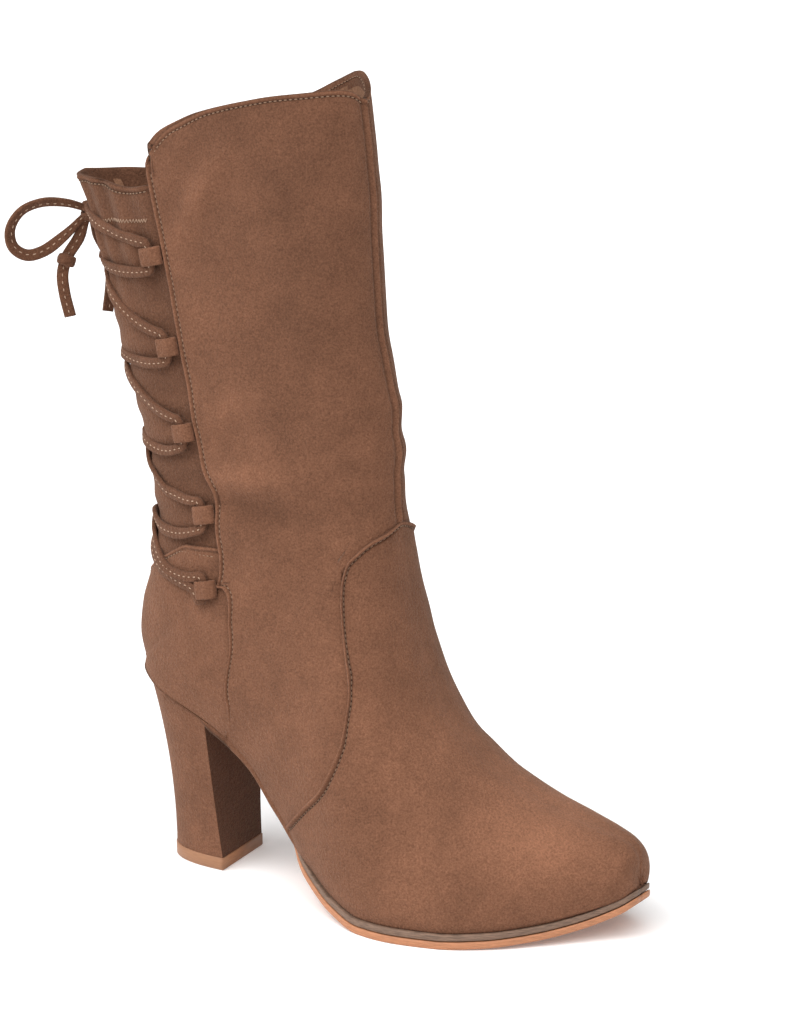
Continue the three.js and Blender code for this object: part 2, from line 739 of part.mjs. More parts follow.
// Lacing. A place on the gusset has a point, and directions up, back and out of it.
function gussetFrame(s, round, out) {
  const side = Math.sign(round);
  const point = lastPoint(s, round);
  const normal = lastNormal(s, round);
  const up = lastPoint(s + STEP_S, round).sub(lastPoint(s - STEP_S, round));
  up.addScaledVector(normal, -up.dot(normal)).normalize();
  const back = lastPoint(s, wrapped(s, round + side * STEP_ROUND)).sub(point);
  back.addScaledVector(normal, -back.dot(normal));
  back.addScaledVector(up, -back.dot(up)).normalize();
  point.addScaledVector(normal, out - PANEL_STEP);
  return { point, normal, up, back };
}

const LOOP_INSIDE = LACE_WIDTH + 2 * LACE_PLAY;
const LOOP_REACH = LOOP_INSIDE + 2 * LOOP_WALL;
const LOOP_OPEN = LACE_THICK + 2 * GAP;
const LOOP_STAND = LOOP_OPEN + 2 * LOOP_WALL;
const SEAM_TO_LOOP = 0.8; // from the side panel's edge to its loops
const LOOP_LEAN = 0.2; // how far the line of loops goes back for its height

// The place on the upper's form nearest to a point, from a first guess.
function placeNear(target, guess) {
  let [s, round] = guess;
  for (let i = 0; i < 6; i++) {
    const at = lastPoint(s, round);
    const miss = target.clone().sub(at);
    const u = lastPoint(s + STEP_S, round).sub(at).divideScalar(STEP_S);
    const v = lastPoint(s, round + STEP_ROUND).sub(at).divideScalar(STEP_ROUND);
    const [uu, uv, vv] = [u.dot(u), u.dot(v), v.dot(v)];
    const [mu, mv] = [miss.dot(u), miss.dot(v)];
    const size = uu * vv - uv * uv;
    s += (mu * vv - mv * uv) / size;
    round += (mv * uu - mu * uv) / size;
  }
  return [s, round];
}

// The middle of a loop, on the gusset behind the side seam. It leans as the line of loops does.
function loopFrame(row, side, out) {
  const seam = [row, side * (girth.seam(row) + SEAM_HALF)];
  const lean = new THREE.Vector3(-LOOP_LEAN, 0, 1);
  const at = gussetFrame(...seam, 0);
  const behind = at.normal.clone().cross(lean).normalize();
  if (behind.x > 0) behind.negate();
  const target = lastPoint(...seam).addScaledVector(behind, SEAM_TO_LOOP + LOOP_REACH / 2);
  const place = placeNear(target, seam);
  const { point, normal } = gussetFrame(...place, out);
  const up = lean.addScaledVector(normal, -lean.dot(normal)).normalize();
  const back = behind.addScaledVector(normal, -behind.dot(normal));
  back.addScaledVector(up, -back.dot(up)).normalize();
  return { point, normal, up, back, place };
}

// A loop of suede, open from top to bottom, seen along the lace.
function loopGeometry(row, side) {
  const shape = new THREE.Shape();
  const corner = LOOP_WALL;
  const [w, h] = [LOOP_REACH / 2, LOOP_STAND / 2];
  shape.moveTo(-w, -h);
  shape.lineTo(w - corner, -h);
  shape.lineTo(w, corner - h);
  shape.lineTo(w, h - corner);
  shape.lineTo(w - corner, h);
  shape.lineTo(-w, h);
  const hole = new THREE.Path();
  const [a, b] = [LOOP_INSIDE / 2, LOOP_OPEN / 2];
  hole.moveTo(-a, -b);
  hole.lineTo(-a, b);
  hole.lineTo(a, b);
  hole.lineTo(a, -b);
  shape.holes.push(hole);
  const geometry = new THREE.ExtrudeGeometry(shape, { depth: LOOP_HEIGHT, bevelEnabled: false });
  geometry.translate(0, 0, -LOOP_HEIGHT / 2);
  const frame = loopFrame(row, side, GAP + LOOP_STAND / 2);
  const across = frame.back;
  const outward = frame.normal;
  const along = across.clone().cross(outward);
  geometry.applyMatrix4(new THREE.Matrix4().makeBasis(across, outward, along));
  geometry.translate(...frame.point.toArray());
  geometry.deleteAttribute("normal");
  geometry.deleteAttribute("uv");
  return mergeVertices(geometry, 1e-4);
}

// A flat lace along a list of frames, its broad side against the gusset.
function laceGeometry(frames) {
  const rings = frames.map((frame, i) => {
    const before = frames[Math.max(i - 1, 0)].point;
    const after = frames[Math.min(i + 1, frames.length - 1)].point;
    const run = after.clone().sub(before).normalize();
    const across = run.clone().cross(frame.normal).normalize();
    const out = across.clone().cross(run).normalize();
    const corner = (a, b) =>
      frame.point
        .clone()
        .addScaledVector(across, (a * LACE_WIDTH) / 2)
        .addScaledVector(out, (b * LACE_THICK) / 2);
    return [corner(-1, -1), corner(1, -1), corner(1, 1), corner(-1, 1)];
  });
  return tube(rings);
}

const LACE_LOW = 2 * GAP + LACE_THICK / 2; // the lace's middle over the gusset
const LACE_STEPS = 16;
const BAR_TURN_STEPS = 8; // more for the turns under the lowest loops
const LACE_IN_LOOP = GAP + LOOP_STAND / 2;
const LACE_RISE = 0.16; // share of a strand in which it comes down from its loop
const CROSSING_HEIGHT = 0.76; // where strands cross, from the lower loop to the upper one

// The row whose back line has a height.
const rowAtBackHeight = (height) => rowWhere(edgeZ, height, HEEL_POINT_ROW, LAST_ROW);

// A place on the gusset by its distance from the back line: 0 there, negative outward.
const roundFromBack = (v) => (v < 0 ? -(1 + v) : 1 - v);

// The place at a distance behind and above a loop, as a row and a distance from the back.
function placeFrom(frame, behind, above) {
  const target = frame.point.clone().addScaledVector(frame.back, behind);
  target.addScaledVector(frame.up, above);
  const [s, round] = placeNear(target, frame.place);
  return [s, Math.sign(round) * (1 - Math.abs(round))];
}

// The straight part of a lace in its loop, from the middle out past the mouth.
// way is 1 upward and -1 downward.
function laceInLoop(row, side, way) {
  const frame = loopFrame(row, side, LACE_IN_LOOP);
  const frames = [GAP / 2, LOOP_HEIGHT / 2, LOOP_HEIGHT / 2 + LACE_THICK].map((d) => ({
    point: frame.point.clone().addScaledVector(frame.up, way * d),
    normal: frame.normal,
  }));
  return { frames, place: placeFrom(frame, 0, way * (LOOP_HEIGHT / 2 + LACE_WIDTH)) };
}

// Frames of a strand over the gusset through places, each a row and a distance from the back.
// It starts, and may end, at the height of a lace in its loop.
function overGusset(places, steps, endsInLoop) {
  const points = places.map(([s, v]) => new THREE.Vector3(s, v * 20, 0));
  const path = new THREE.CatmullRomCurve3(points, false, "centripetal");
  return path.getSpacedPoints(steps).map((p, i) => {
    const t = i / steps;
    const fromLoop = endsInLoop ? Math.min(t, 1 - t) : t;
    const drop = smooth(0, LACE_RISE, fromLoop);
    const out = THREE.MathUtils.lerp(LACE_IN_LOOP, LACE_LOW, drop);
    return gussetFrame(p.x, roundFromBack(p.y / 20 || 1e-9), out);
  });
}

const loopHeight = (row) => loopFrame(row, -1, 0).point.z;

// One strand from a loop down and round the back to a loop on the other side.
function crossingStrand(upperRow, lowerRow, side) {
  const start = laceInLoop(upperRow, side, -1);
  const finish = laceInLoop(lowerRow, -side, 1);
  const [high, low] = [loopHeight(upperRow), loopHeight(lowerRow)];
  const back = [rowAtBackHeight(THREE.MathUtils.lerp(low, high, CROSSING_HEIGHT)), 0];
  const middle = overGusset([start.place, back, finish.place], LACE_STEPS, true);
  return laceGeometry([...start.frames, ...middle, ...finish.frames.reverse()]);
}

function joined(geometries) {
  const solids = geometries.map(toManifold);
  return fromManifold(solids.slice(1).reduce((all, one) => all.add(one), solids[0]));
}

function crossingGeometry(upperRow, lowerRow) {
  return joined([-1, 1].map((side) => crossingStrand(upperRow, lowerRow, side)));
}

// The lowest bar goes from the last loop round the back, over the counter.
function bottomBarGeometry() {
  const row = LOOP_ROWS.at(-1);
  const [start, finish] = [-1, 1].map((side) => laceInLoop(row, side, -1));
  const turns = [-1, 1].map((side) => {
    const frame = loopFrame(row, side, 0);
    const under = placeFrom(frame, 1.5 * LACE_WIDTH, -1.5 * LACE_WIDTH);
    return [under, placeFrom(frame, 2.5 * LACE_WIDTH, 0)];
  });
  const back = [rowAtBackHeight(loopHeight(row) + LACE_WIDTH), 0];
  const places = [start.place, ...turns[0], back, ...turns[1].reverse(), finish.place];
  const middle = overGusset(places, LACE_STEPS + BAR_TURN_STEPS, true);
  return laceGeometry([...start.frames, ...middle, ...finish.frames.reverse()]);
}

const KNOT_ROW = 31.75;
const KNOT_FRAME = gussetFrame(KNOT_ROW, 1, GAP + LACE_THICK + GAP + KNOT_SIZE / 2);

// The two upper strands meet under the knot.
function topStrandsGeometry() {
  const strand = (side) => {
    const start = laceInLoop(LOOP_ROWS[0], side, 1);
    const end = [
      [KNOT_ROW - 0.2, side * 0.09],
      [KNOT_ROW, -side * 0.02],
    ];
    return laceGeometry([...start.frames, ...overGusset([start.place, ...end], LACE_STEPS, false)]);
  };
  return joined([strand(-1), strand(1)]);
}

// Free lace: points from the knot, each a distance out along the bow and a height.
const BOW_LOOP = [
  [4.5, 3.4],
  [10, 4.6],
  [20.6, 5],
  [29.5, 1.6],
  [34.4, -5.6],
  [33.6, -13.4],
  [27.8, -18],
  [20.6, -17.4],
  [11, -11.2],
  [4.8, -4],
];
const LACE_END = [
  [3, -9.4],
  [5.4, -16],
  [10.6, -21.6],
  [12.4, -27.6],
  [11.8, -35],
  [9.6, -44],
];
const END_KNOT_AT = [10.8, -21.8];

// The way that each half of the bow lies, seen from above.
const BOW_WAYS = {
  outer: new THREE.Vector3(-0.6, -0.8, 0),
  inner: new THREE.Vector3(-0.35, 0.94, 0).normalize(),
};

function bowPoint([out, up], way) {
  return KNOT_FRAME.point.clone().addScaledVector(way, out).add(new THREE.Vector3(0, 0, up));
}

// A flat lace along free points, turned as it goes, with no twist.
function freeLaceGeometry(points, way, steps) {
  const path = new THREE.CatmullRomCurve3(points, false, "centripetal");
  const side = way.clone().cross(new THREE.Vector3(0, 0, 1)).normalize();
  const rings = path.getPoints(steps).map((point, i) => {
    const run = path.getTangent(i / steps);
    const flat = run.clone().cross(side).normalize();
    const across = side.clone().add(flat).normalize();
    const out = across.clone().cross(run).normalize();
    const corner = (a, b) =>
      point
        .clone()
        .addScaledVector(across, (a * LACE_WIDTH) / 2)
        .addScaledVector(out, (b * LACE_THICK) / 2);
    return [
      corner(-1, 0),
      corner(-0.8, -1),
      corner(0.8, -1),
      corner(1, 0),
      corner(0.8, 1),
      corner(-0.8, 1),
    ];
  });
  return tube(rings);
}

// A rounded knot at a point.
function knotGeometry(center, size, flatness) {
  const geometry = new THREE.SphereGeometry(size / 2, 9, 6);
  geometry.scale(1, 1, flatness);
  geometry.translate(...center.toArray());
  geometry.deleteAttribute("normal");
  geometry.deleteAttribute("uv");
  return closed(trianglesOf(mergeVertices(geometry, 1e-4)));
}

function trianglesOf(geometry) {
  const position = geometry.attributes.position;
  const index = geometry.index.array;
  const point = (i) => new THREE.Vector3().fromBufferAttribute(position, i);
  const triangles = [];
  for (let i = 0; i < index.length; i += 3) {
    triangles.push([point(index[i]), point(index[i + 1]), point(index[i + 2])]);
  }
  return triangles;
}

add("upper", upperGeometry(), SUEDE);
add("outsole", outsoleGeometry(), TAN_SOLE);
add("welt", weltGeometry(), WELT_BROWN);
add("insole", insoleGeometry(), LINING);
add("heel_block", heelGeometry(), COVERED);
add("heel_top_piece", heelTopPieceGeometry(), TAN_SOLE);

LOOP_ROWS.forEach((row, i) => {
  add(`lace_loop_outer_${i + 1}`, loopGeometry(row, -1), SUEDE);
  add(`lace_loop_inner_${i + 1}`, loopGeometry(row, 1), SUEDE);
});
LOOP_ROWS.slice(1).forEach((row, i) => {
  add(`lace_crossing_${i + 1}`, crossingGeometry(LOOP_ROWS[i], row), LACE_SUEDE);
});
add("lace_bottom_bar", bottomBarGeometry(), LACE_SUEDE);
add("lace_top_strands", topStrandsGeometry(), LACE_SUEDE);

const KNOT_FLATNESS = 0.85;
const BOW_STEPS = 18;
const END_STEPS = 10;
const knot = knotGeometry(KNOT_FRAME.point, KNOT_SIZE, KNOT_FLATNESS);
add("bow_knot", knot, LACE_SUEDE);
for (const [name, way] of Object.entries(BOW_WAYS)) {
  const around = toManifold(knotGeometry(KNOT_FRAME.point, KNOT_SIZE + 2 * GAP, KNOT_FLATNESS));
  const endAt = bowPoint(END_KNOT_AT, way);
  const endRoom = toManifold(knotGeometry(endAt, END_KNOT_SIZE + 2 * GAP, KNOT_FLATNESS));
  const loop = freeLaceGeometry(BOW_LOOP.map((p) => bowPoint(p, way)), way, BOW_STEPS);
  add(`bow_loop_${name}`, fromManifold(toManifold(loop).subtract(around)), LACE_SUEDE);
  const end = freeLaceGeometry(LACE_END.map((p) => bowPoint(p, way)), way, END_STEPS);
  const pieces = toManifold(end).subtract(around).subtract(endRoom).decompose();
  pieces.sort((a, b) => b.boundingBox().max[2] - a.boundingBox().max[2]);
  add(`lace_end_${name}_upper`, fromManifold(pieces[0]), LACE_SUEDE);
  add(`lace_end_${name}_lower`, fromManifold(pieces[1]), LACE_SUEDE);
  add(`end_knot_${name}`, knotGeometry(endAt, END_KNOT_SIZE, KNOT_FLATNESS), LACE_SUEDE);
}

export default boot;
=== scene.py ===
"""Looks of a back-lace ankle boot in napped suede, dressed over its solid model.

Shapes are worked out in millimetres, in the frame of the solid model:
toe to +X, inner side of the foot to +Y, +Z up.
"""

import math

import bmesh
import bpy
import numpy as np
from mathutils import Matrix, Vector


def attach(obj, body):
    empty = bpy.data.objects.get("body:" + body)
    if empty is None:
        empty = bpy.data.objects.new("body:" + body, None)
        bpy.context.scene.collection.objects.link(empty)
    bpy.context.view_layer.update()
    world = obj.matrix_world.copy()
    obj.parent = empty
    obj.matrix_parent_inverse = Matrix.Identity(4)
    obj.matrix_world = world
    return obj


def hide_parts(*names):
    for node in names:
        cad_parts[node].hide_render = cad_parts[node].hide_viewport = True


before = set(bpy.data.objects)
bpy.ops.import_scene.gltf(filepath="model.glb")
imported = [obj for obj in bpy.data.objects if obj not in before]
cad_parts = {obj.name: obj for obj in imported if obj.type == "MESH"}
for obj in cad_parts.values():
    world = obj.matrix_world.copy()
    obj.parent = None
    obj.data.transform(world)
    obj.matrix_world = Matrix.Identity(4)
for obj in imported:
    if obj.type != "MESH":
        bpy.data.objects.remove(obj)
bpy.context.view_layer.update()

MM = 0.001

# Camera, at the photograph's angle
VIEW_AZIMUTH = 32.009
VIEW_ELEVATION = 13.494
VIEW_ROLL = -0.302
VIEW_DISTANCE = 1240.1
VIEW_TARGET = (95.986, 0, 164.615)
FOCAL_PIXELS = 3079.9
IMAGE_HEIGHT = 1013
SENSOR = 36


def unit(v):
    """v scaled to length one, along its last axis."""
    v = np.asarray(v, float)
    return v / np.maximum(np.linalg.norm(v, axis=-1, keepdims=True), 1e-12)


def make_camera():
    """The camera that sees the boot as the photograph does."""
    a = math.radians(VIEW_AZIMUTH)
    e = math.radians(VIEW_ELEVATION)
    r = math.radians(VIEW_ROLL)
    back = np.array([math.sin(a) * math.cos(e), -math.cos(a) * math.cos(e), math.sin(e)])
    level = np.array([math.cos(a), math.sin(a), 0])
    up = np.cross(back, level)
    right = math.cos(r) * level + math.sin(r) * up
    up = np.cross(back, right)
    place = (np.array(VIEW_TARGET) + back * VIEW_DISTANCE) * MM
    data = bpy.data.cameras.new("photo_camera")
    data.sensor_fit = "VERTICAL"
    data.sensor_height = SENSOR
    data.lens = FOCAL_PIXELS / IMAGE_HEIGHT * SENSOR
    camera = bpy.data.objects.new("photo_camera", data)
    bpy.context.scene.collection.objects.link(camera)
    turn = Matrix((right, up, back)).transposed().to_4x4()
    camera.matrix_world = Matrix.Translation(place) @ turn
    bpy.context.scene.camera = camera


make_camera()

# Sizes of the solid model
LENGTH = 233
HEEL_POINT_X = -29.2
BALL_WIDTH = 83
SEAT_WIDTH = 47.6
SEAT_HEIGHT = 84.2
TOE_SPRING = 15
TOE_SWING = 9.4
INSTEP_HEIGHT = 75
SHAFT_HEIGHT = 177
COLLAR_DEPTH = 140.5
COLLAR_WIDTH = 56.4
WALL = 2
VAMP_STEP = 0.8
PANEL_STEP = 1
OUTSOLE_THICK = 3.1
WELT_THICK = 2.6
WELT_WIDTH = 6.5
WELT_REACH = 2
HEEL_TOP_THICK = 5.5
HEEL_TOP_LENGTH = 31
HEEL_TOP_WIDTH = 35
BREAST_SKEW = 2
LACE_WIDTH = 5
LACE_THICK = 1.8
LOOP_HEIGHT = 8.4
LOOP_WALL = 1.2
LACE_PLAY = 0.6
KNOT_SIZE = 12
END_KNOT_SIZE = 7
GAP = 0.3
SOLE_EDGE = OUTSOLE_THICK + WELT_THICK + 2 * GAP
HEEL_POINT_ROW = 20
SEAT_ROW = 15.45
WELT_END_ROW = 12.6
LAST_ROW = 34

# Sections from the toe tip, round the heel point, up to the collar, one row each.
# Shares: along of LENGTH, spring of TOE_SPRING, lift of SEAT_HEIGHT over the sole's edge,
# foot of INSTEP_HEIGHT, rise of SHAFT_HEIGHT, mid of TOE_SWING.
RIDGE = {
    "columns": ["along", "spring", "lift", "foot", "rise", "mid"],
    "rows": [
        [1, 0.97, 0, 0, 0, 0.957],
        [0.996, 0.93, 0, 0.13, 0, 0.957],
        [0.984, 0.79, 0, 0.222, 0, 0.957],
        [0.96, 0.59, 0, 0.31, 0, 0.947],
        [0.924, 0.37, 0, 0.391, 0, 0.894],
        [0.868, 0.16, 0, 0.484, 0, 0.766],
        [0.799, 0.04, 0, 0.58, 0, 0.574],
        [0.726, 0, 0, 0.713, 0, 0.383],
        [0.653, 0, 0.05, 0.851, 0, 0.255],
        [0.607, 0, 0.2, 0.908, 0, 0.17],
        [0.582, 0, 0.35, 0.959, 0, 0.106],
        [0.567, 0, 0.5, 0.978, 0, 0.064],
        [0.557, 0, 0.62, 1.016, 0, 0.032],
        [0.549, 0, 0.74, 1.035, 0, 0],
        [0.543, 0, 0.86, 1.033, 0, 0],
        [0.539, 0, 0.95, 1.044, 0, 0],
        [0.536, 0, 1, 1, 0.033, 0],
        [0.535, 0, 1, 1, 0.064, 0],
        [0.535, 0, 1, 1, 0.093, 0],
        [0.535, 0, 1, 1, 0.12, 0],
        [0.535, 0, 1, 1, 0.146, 0],
        [0.534, 0, 1, 1, 0.182, 0],
        [0.533, 0, 1, 1, 0.222, 0],
        [0.529, 0, 1, 1, 0.264, 0],
        [0.521, 0, 1, 1, 0.312, 0],
        [0.512, 0, 1, 1, 0.363, 0],
        [0.503, 0, 1, 1, 0.423, 0],
        [0.497, 0, 1, 1, 0.496, 0],
        [0.494, 0, 1, 1, 0.575, 0],
        [0.491, 0, 1, 1, 0.654, 0],
        [0.488, 0, 1, 1, 0.736, 0],
        [0.483, 0, 1, 1, 0.821, 0],
        [0.475, 0, 1, 1, 0.908, 0],
        [0.464, 0, 1, 1, 0.999, 0],
        [0.454, 0, 1, 1, 1.089, 0],
    ],
}

# The line where the upper meets the sole, then the back line of the shaft.
# Shares as in RIDGE, and depth of COLLAR_DEPTH, measured back from the ridge.
EDGE = {
    "columns": ["along", "spring", "lift", "foot", "rise", "depth", "mid"],
    "rows": [
        [1, 0.97, 0, 0, 0, 0, 0.957],
        [0.996, 0.93, 0, 0, 0, 0, 0.957],
        [0.984, 0.79, 0, 0, 0, 0, 0.957],
        [0.96, 0.59, 0, 0, 0, 0, 0.936],
        [0.924, 0.37, 0, 0, 0, 0, 0.787],
        [0.868, 0.16, 0, 0, 0, 0, 0.319],
        [0.799, 0.04, 0, 0, 0, 0, -0.17],
        [0.726, 0, 0, 0, 0, 0, -0.574],
        [0.649, 0, 0, 0, 0, 0, -0.872],
        [0.58, 0, 0, 0, 0, 0, -1],
        [0.512, 0, 0.044, 0, 0, 0, -0.936],
        [0.452, 0, 0.125, 0, 0, 0, -0.745],
        [0.396, 0, 0.234, 0, 0, 0, -0.511],
        [0.34, 0, 0.4, 0, 0, 0, -0.298],
        [0.28, 0, 0.6, 0, 0, 0, -0.149],
        [0.211, 0, 0.747, 0, 0, 0, -0.064],
        [0.142, 0, 0.841, 0, 0, 0, 0],
        [0.082, 0, 0.911, 0, 0, 0, 0],
        [0.037, 0, 0.962, 0, 0, 0, 0],
        [0.009, 0, 0.987, 0, 0, 0, 0],
        [0, 0, 1, 0, 0, 0, 0],
        [0.534, 0, 1, 0.144, 0, 0.903, 0],
        [0.533, 0, 1, 0.331, 0, 0.891, 0],
        [0.529, 0, 1, 0.517, 0, 0.853, 0],
        [0.521, 0, 1, 0.704, 0, 0.813, 0],
        [0.512, 0, 1, 0.891, 0, 0.789, 0],
        [0.503, 0, 1, 1, 0.038, 0.783, 0],
        [0.497, 0, 1, 1, 0.14, 0.801, 0],
        [0.494, 0, 1, 1, 0.247, 0.835, 0],
        [0.491, 0, 1, 1, 0.355, 0.87, 0],
        [0.488, 0, 1, 1, 0.462, 0.898, 0],
        [0.483, 0, 1, 1, 0.569, 0.92, 0],
        [0.475, 0, 1, 1, 0.666, 0.957, 0],
        [0.464, 0, 1, 1, 0.756, 1, 0],
        [0.454, 0, 1, 1, 0.846, 1.04, 0],
    ],
}

# Half widths at the lower edge (ball, seat) and at the widest place (foot, shaft),
# how square the section is, and where the side seam lies, ridge 0 to edge 1.
GIRTH = {
    "columns": ["ball", "seat", "foot", "shaft", "full", "seam"],
    "rows": [
        [0, 0, 0, 0, 2, 0.95],
        [0.077, 0, 0.111, 0, 2, 0.95],
        [0.169, 0, 0.231, 0, 2, 0.95],
        [0.26, 0, 0.352, 0, 2.1, 0.95],
        [0.443, 0, 0.516, 0, 2.2, 0.95],
        [0.646, 0, 0.708, 0, 2.2, 0.95],
        [0.858, 0, 0.901, 0, 2.1, 0.95],
        [0.978, 0, 1.012, 0, 2, 0.95],
        [1, 0, 1.036, 0, 1.95, 0.95],
        [0.94, 0, 1.012, 0, 1.9, 0.95],
        [0.819, 0, 0.964, 0, 1.9, 0.95],
        [0.704, 0, 0.906, 0, 1.9, 0.95],
        [0.612, 0, 0.768, 0.126, 1.95, 0.95],
        [0, 0.966, 0.648, 0.238, 2, 0.95],
        [0, 0.941, 0.547, 0.345, 2.05, 0.95],
        [0, 0.983, 0.457, 0.448, 2.1, 0.885],
        [0, 1, 0.373, 0.55, 2.1, 0.752],
        [0, 0.908, 0.295, 0.651, 2.1, 0.678],
        [0, 0.672, 0.218, 0.75, 2.1, 0.612],
        [0, 0.361, 0.144, 0.845, 2.1, 0.568],
        [0, 0, 0.071, 0.938, 2.1, 0.535],
        [0, 0, 0, 1.021, 2.1, 0.522],
        [0, 0, 0, 1, 2.1, 0.532],
        [0, 0, 0, 0.979, 2.1, 0.548],
        [0, 0, 0, 0.965, 2.15, 0.566],
        [0, 0, 0, 0.95, 2.2, 0.592],
        [0, 0, 0, 0.943, 2.25, 0.598],
        [0, 0, 0, 0.943, 2.3, 0.596],
        [0, 0, 0, 0.943, 2.3, 0.594],
        [0, 0, 0, 0.95, 2.3, 0.589],
        [0, 0, 0, 0.957, 2.3, 0.59],
        [0, 0, 0, 0.972, 2.3, 0.59],
        [0, 0, 0, 0.986, 2.3, 0.583],
        [0, 0, 0, 1, 2.3, 0.555],
        [0, 0, 0, 1.014, 2.3, 0.54],
    ],
}

# Lines on the upper, as (share round the section or the piece, row).
VAMP_EDGE = [
    (0, 15),
    (0.12, 14.85),
    (0.24, 15.05),
    (0.31, 15.05),
    (0.35, 14.7),
    (0.385, 13.9),
    (0.43, 12.1),
    (0.47, 11.4),
    (0.56, 10.95),
    (0.68, 11.1),
    (0.85, 11.9),
    (1, 12.5),
]
PANEL_TOP_OUTER = [
    (0, 32.45),
    (0.05, 32.58),
    (0.12, 32.72),
    (0.4, 32.95),
    (0.6, 33.13),
    (0.8, 33.22),
    (0.9, 33.1),
    (0.96, 32.85),
    (1, 32.4),
]
PANEL_TOP_INNER = [
    (0, 32.45),
    (0.06, 32.55),
    (0.12, 32.7),
    (0.22, 33.0),
    (0.35, 33.25),
    (0.5, 33.2),
    (0.65, 33.1),
    (0.85, 33.05),
    (0.96, 32.85),
    (1, 32.4),
]
GUSSET_TOP = [(0, 31.93), (0.15, 32.02), (0.38, 32.42), (0.63, 32.68), (1, 32.85)]
COUNTER_TOP = [(0, 21.35), (0.12, 22.15), (0.26, 22.8), (0.6, 23.05), (1, 23.1)]
LOOP_ROWS = [30.33, 28.24, 26.25, 23.1, 19.6]

# The upper's base form


def curve(xs, ys):
    """A smooth function through the points that never overshoots them."""
    xs = np.asarray(xs, float)
    ys = np.asarray(ys, float)
    steps = np.diff(ys) / np.diff(xs)
    a, b = steps[:-1], steps[1:]
    total = np.where(a * b > 0, a + b, 1)
    inner = np.where(a * b > 0, 2 * a * b / total, 0)
    first = (3 * steps[0] - inner[0]) / 2
    last = (3 * steps[-1] - inner[-1]) / 2
    m = np.concatenate([[first], inner, [last]])

    def at(x):
        x = np.clip(x, xs[0], xs[-1])
        i = np.clip(np.searchsorted(xs, x, side="right") - 1, 0, len(xs) - 2)
        width = xs[i + 1] - xs[i]
        t = (x - xs[i]) / width
        u = 1 - t
        return (
            ys[i] * (1 + 2 * t) * u * u
            + m[i] * width * t * u * u
            + ys[i + 1] * t * t * (3 - 2 * t)
            - m[i + 1] * width * t * t * u
        )

    return at


def by_row(table):
    """The named columns of a table as functions of the row number."""
    numbers = range(len(table["rows"]))
    columns = np.array(table["rows"], float).T
    return {name: curve(numbers, columns[i]) for i, name in enumerate(table["columns"])}


def by_first(pairs):
    """A line given as pairs, as a function of its first number."""
    return curve(*np.array(pairs, float).T)


ridge = by_row(RIDGE)
edge = by_row(EDGE)
girth = by_row(GIRTH)
vamp_edge = by_first(VAMP_EDGE)
panel_top = {-1: by_first(PANEL_TOP_OUTER), 1: by_first(PANEL_TOP_INNER)}
gusset_top = by_first(GUSSET_TOP)
counter_top = by_first(COUNTER_TOP)
SEAM_FOOT_ROW = 14.5  # the side seam meets the sole here
SEAM_OPEN_ROW = 15  # above this row the side seam follows its own column

# Steps along the rows and round a section in which directions are measured
STEP_S = 0.02
STEP_F = 0.004


def seam_share(s):
    """Where the side seam lies in a section, ridge 0 to edge 1."""
    s = np.asarray(s, float)
    near = np.clip((s - SEAM_FOOT_ROW) / (SEAM_OPEN_ROW - SEAM_FOOT_ROW), 0, 1)
    low = 1 + (girth["seam"](float(SEAM_OPEN_ROW)) - 1) * near
    return np.where(s < SEAM_OPEN_ROW, low, girth["seam"](s))


def behind_seam(s, shares, overlap=0.0):
    """Shares of a section from the side seam, or a little before it, to the back."""
    seam = seam_share(s) - overlap
    return seam + shares * (1 - seam)


def height_of(line, s):
    """Height of the ridge or the edge at rows s."""
    return (
        SOLE_EDGE
        + line["spring"](s) * TOE_SPRING
        + line["lift"](s) * (SEAT_HEIGHT - SOLE_EDGE)
        + line["foot"](s) * INSTEP_HEIGHT
        + line["rise"](s) * SHAFT_HEIGHT
    )


def ridge_point(s):
    """The middle of the front, or the top of the foot, at rows s."""
    x = HEEL_POINT_X + ridge["along"](s) * LENGTH
    return np.stack([x, ridge["mid"](s) * TOE_SWING, height_of(ridge, s)], -1)


def edge_point(s):
    """The middle of the lower edge, or of the back, at rows s."""
    x = HEEL_POINT_X + edge["along"](s) * LENGTH - edge["depth"](s) * COLLAR_DEPTH
    return np.stack([x, edge["mid"](s) * TOE_SWING, height_of(edge, s)], -1)


def edge_half(s):
    """Half the width between the two lower edges, 0 up the back."""
    half = (girth["ball"](s) * BALL_WIDTH + girth["seat"](s) * SEAT_WIDTH) / 2
    return np.where(np.asarray(s) >= HEEL_POINT_ROW, 0, half)


def widest_half(s):
    """Half the width of a section at its widest place."""
    return (girth["foot"](s) * BALL_WIDTH + girth["shaft"](s) * COLLAR_WIDTH) / 2


def signed_power(v, e):
    """A power of v's size that keeps its sign."""
    return np.sign(v) * np.abs(v) ** e


def form(s, f, side):
    """Points of the upper's base form. f is 0 at the ridge and 1 at the edge."""
    s, f, side = np.broadcast_arrays(*(np.asarray(v, float) for v in (s, f, side)))
    side = np.where(f < 0, -side, side)
    f = np.abs(f)
    past = (f > 1) & (s >= HEEL_POINT_ROW)
    side = np.where(past, -side, side)
    f = np.minimum(np.where(past, 2 - f, f), 1)
    top, low, wide = ridge_point(s), edge_point(s), widest_half(s)
    e = 2 / girth["full"](s)
    narrow = np.minimum(edge_half(s) / np.maximum(wide, 1e-6), 1)
    end = math.pi - np.arcsin(narrow ** (1 / e))
    angle = f * end
    down = (1 - signed_power(np.cos(angle), e)) / (1 - signed_power(np.cos(end), e))
    p = top + (low - top) * down[..., None]
    p[..., 1] += side * wide * np.abs(np.sin(angle)) ** e
    return p


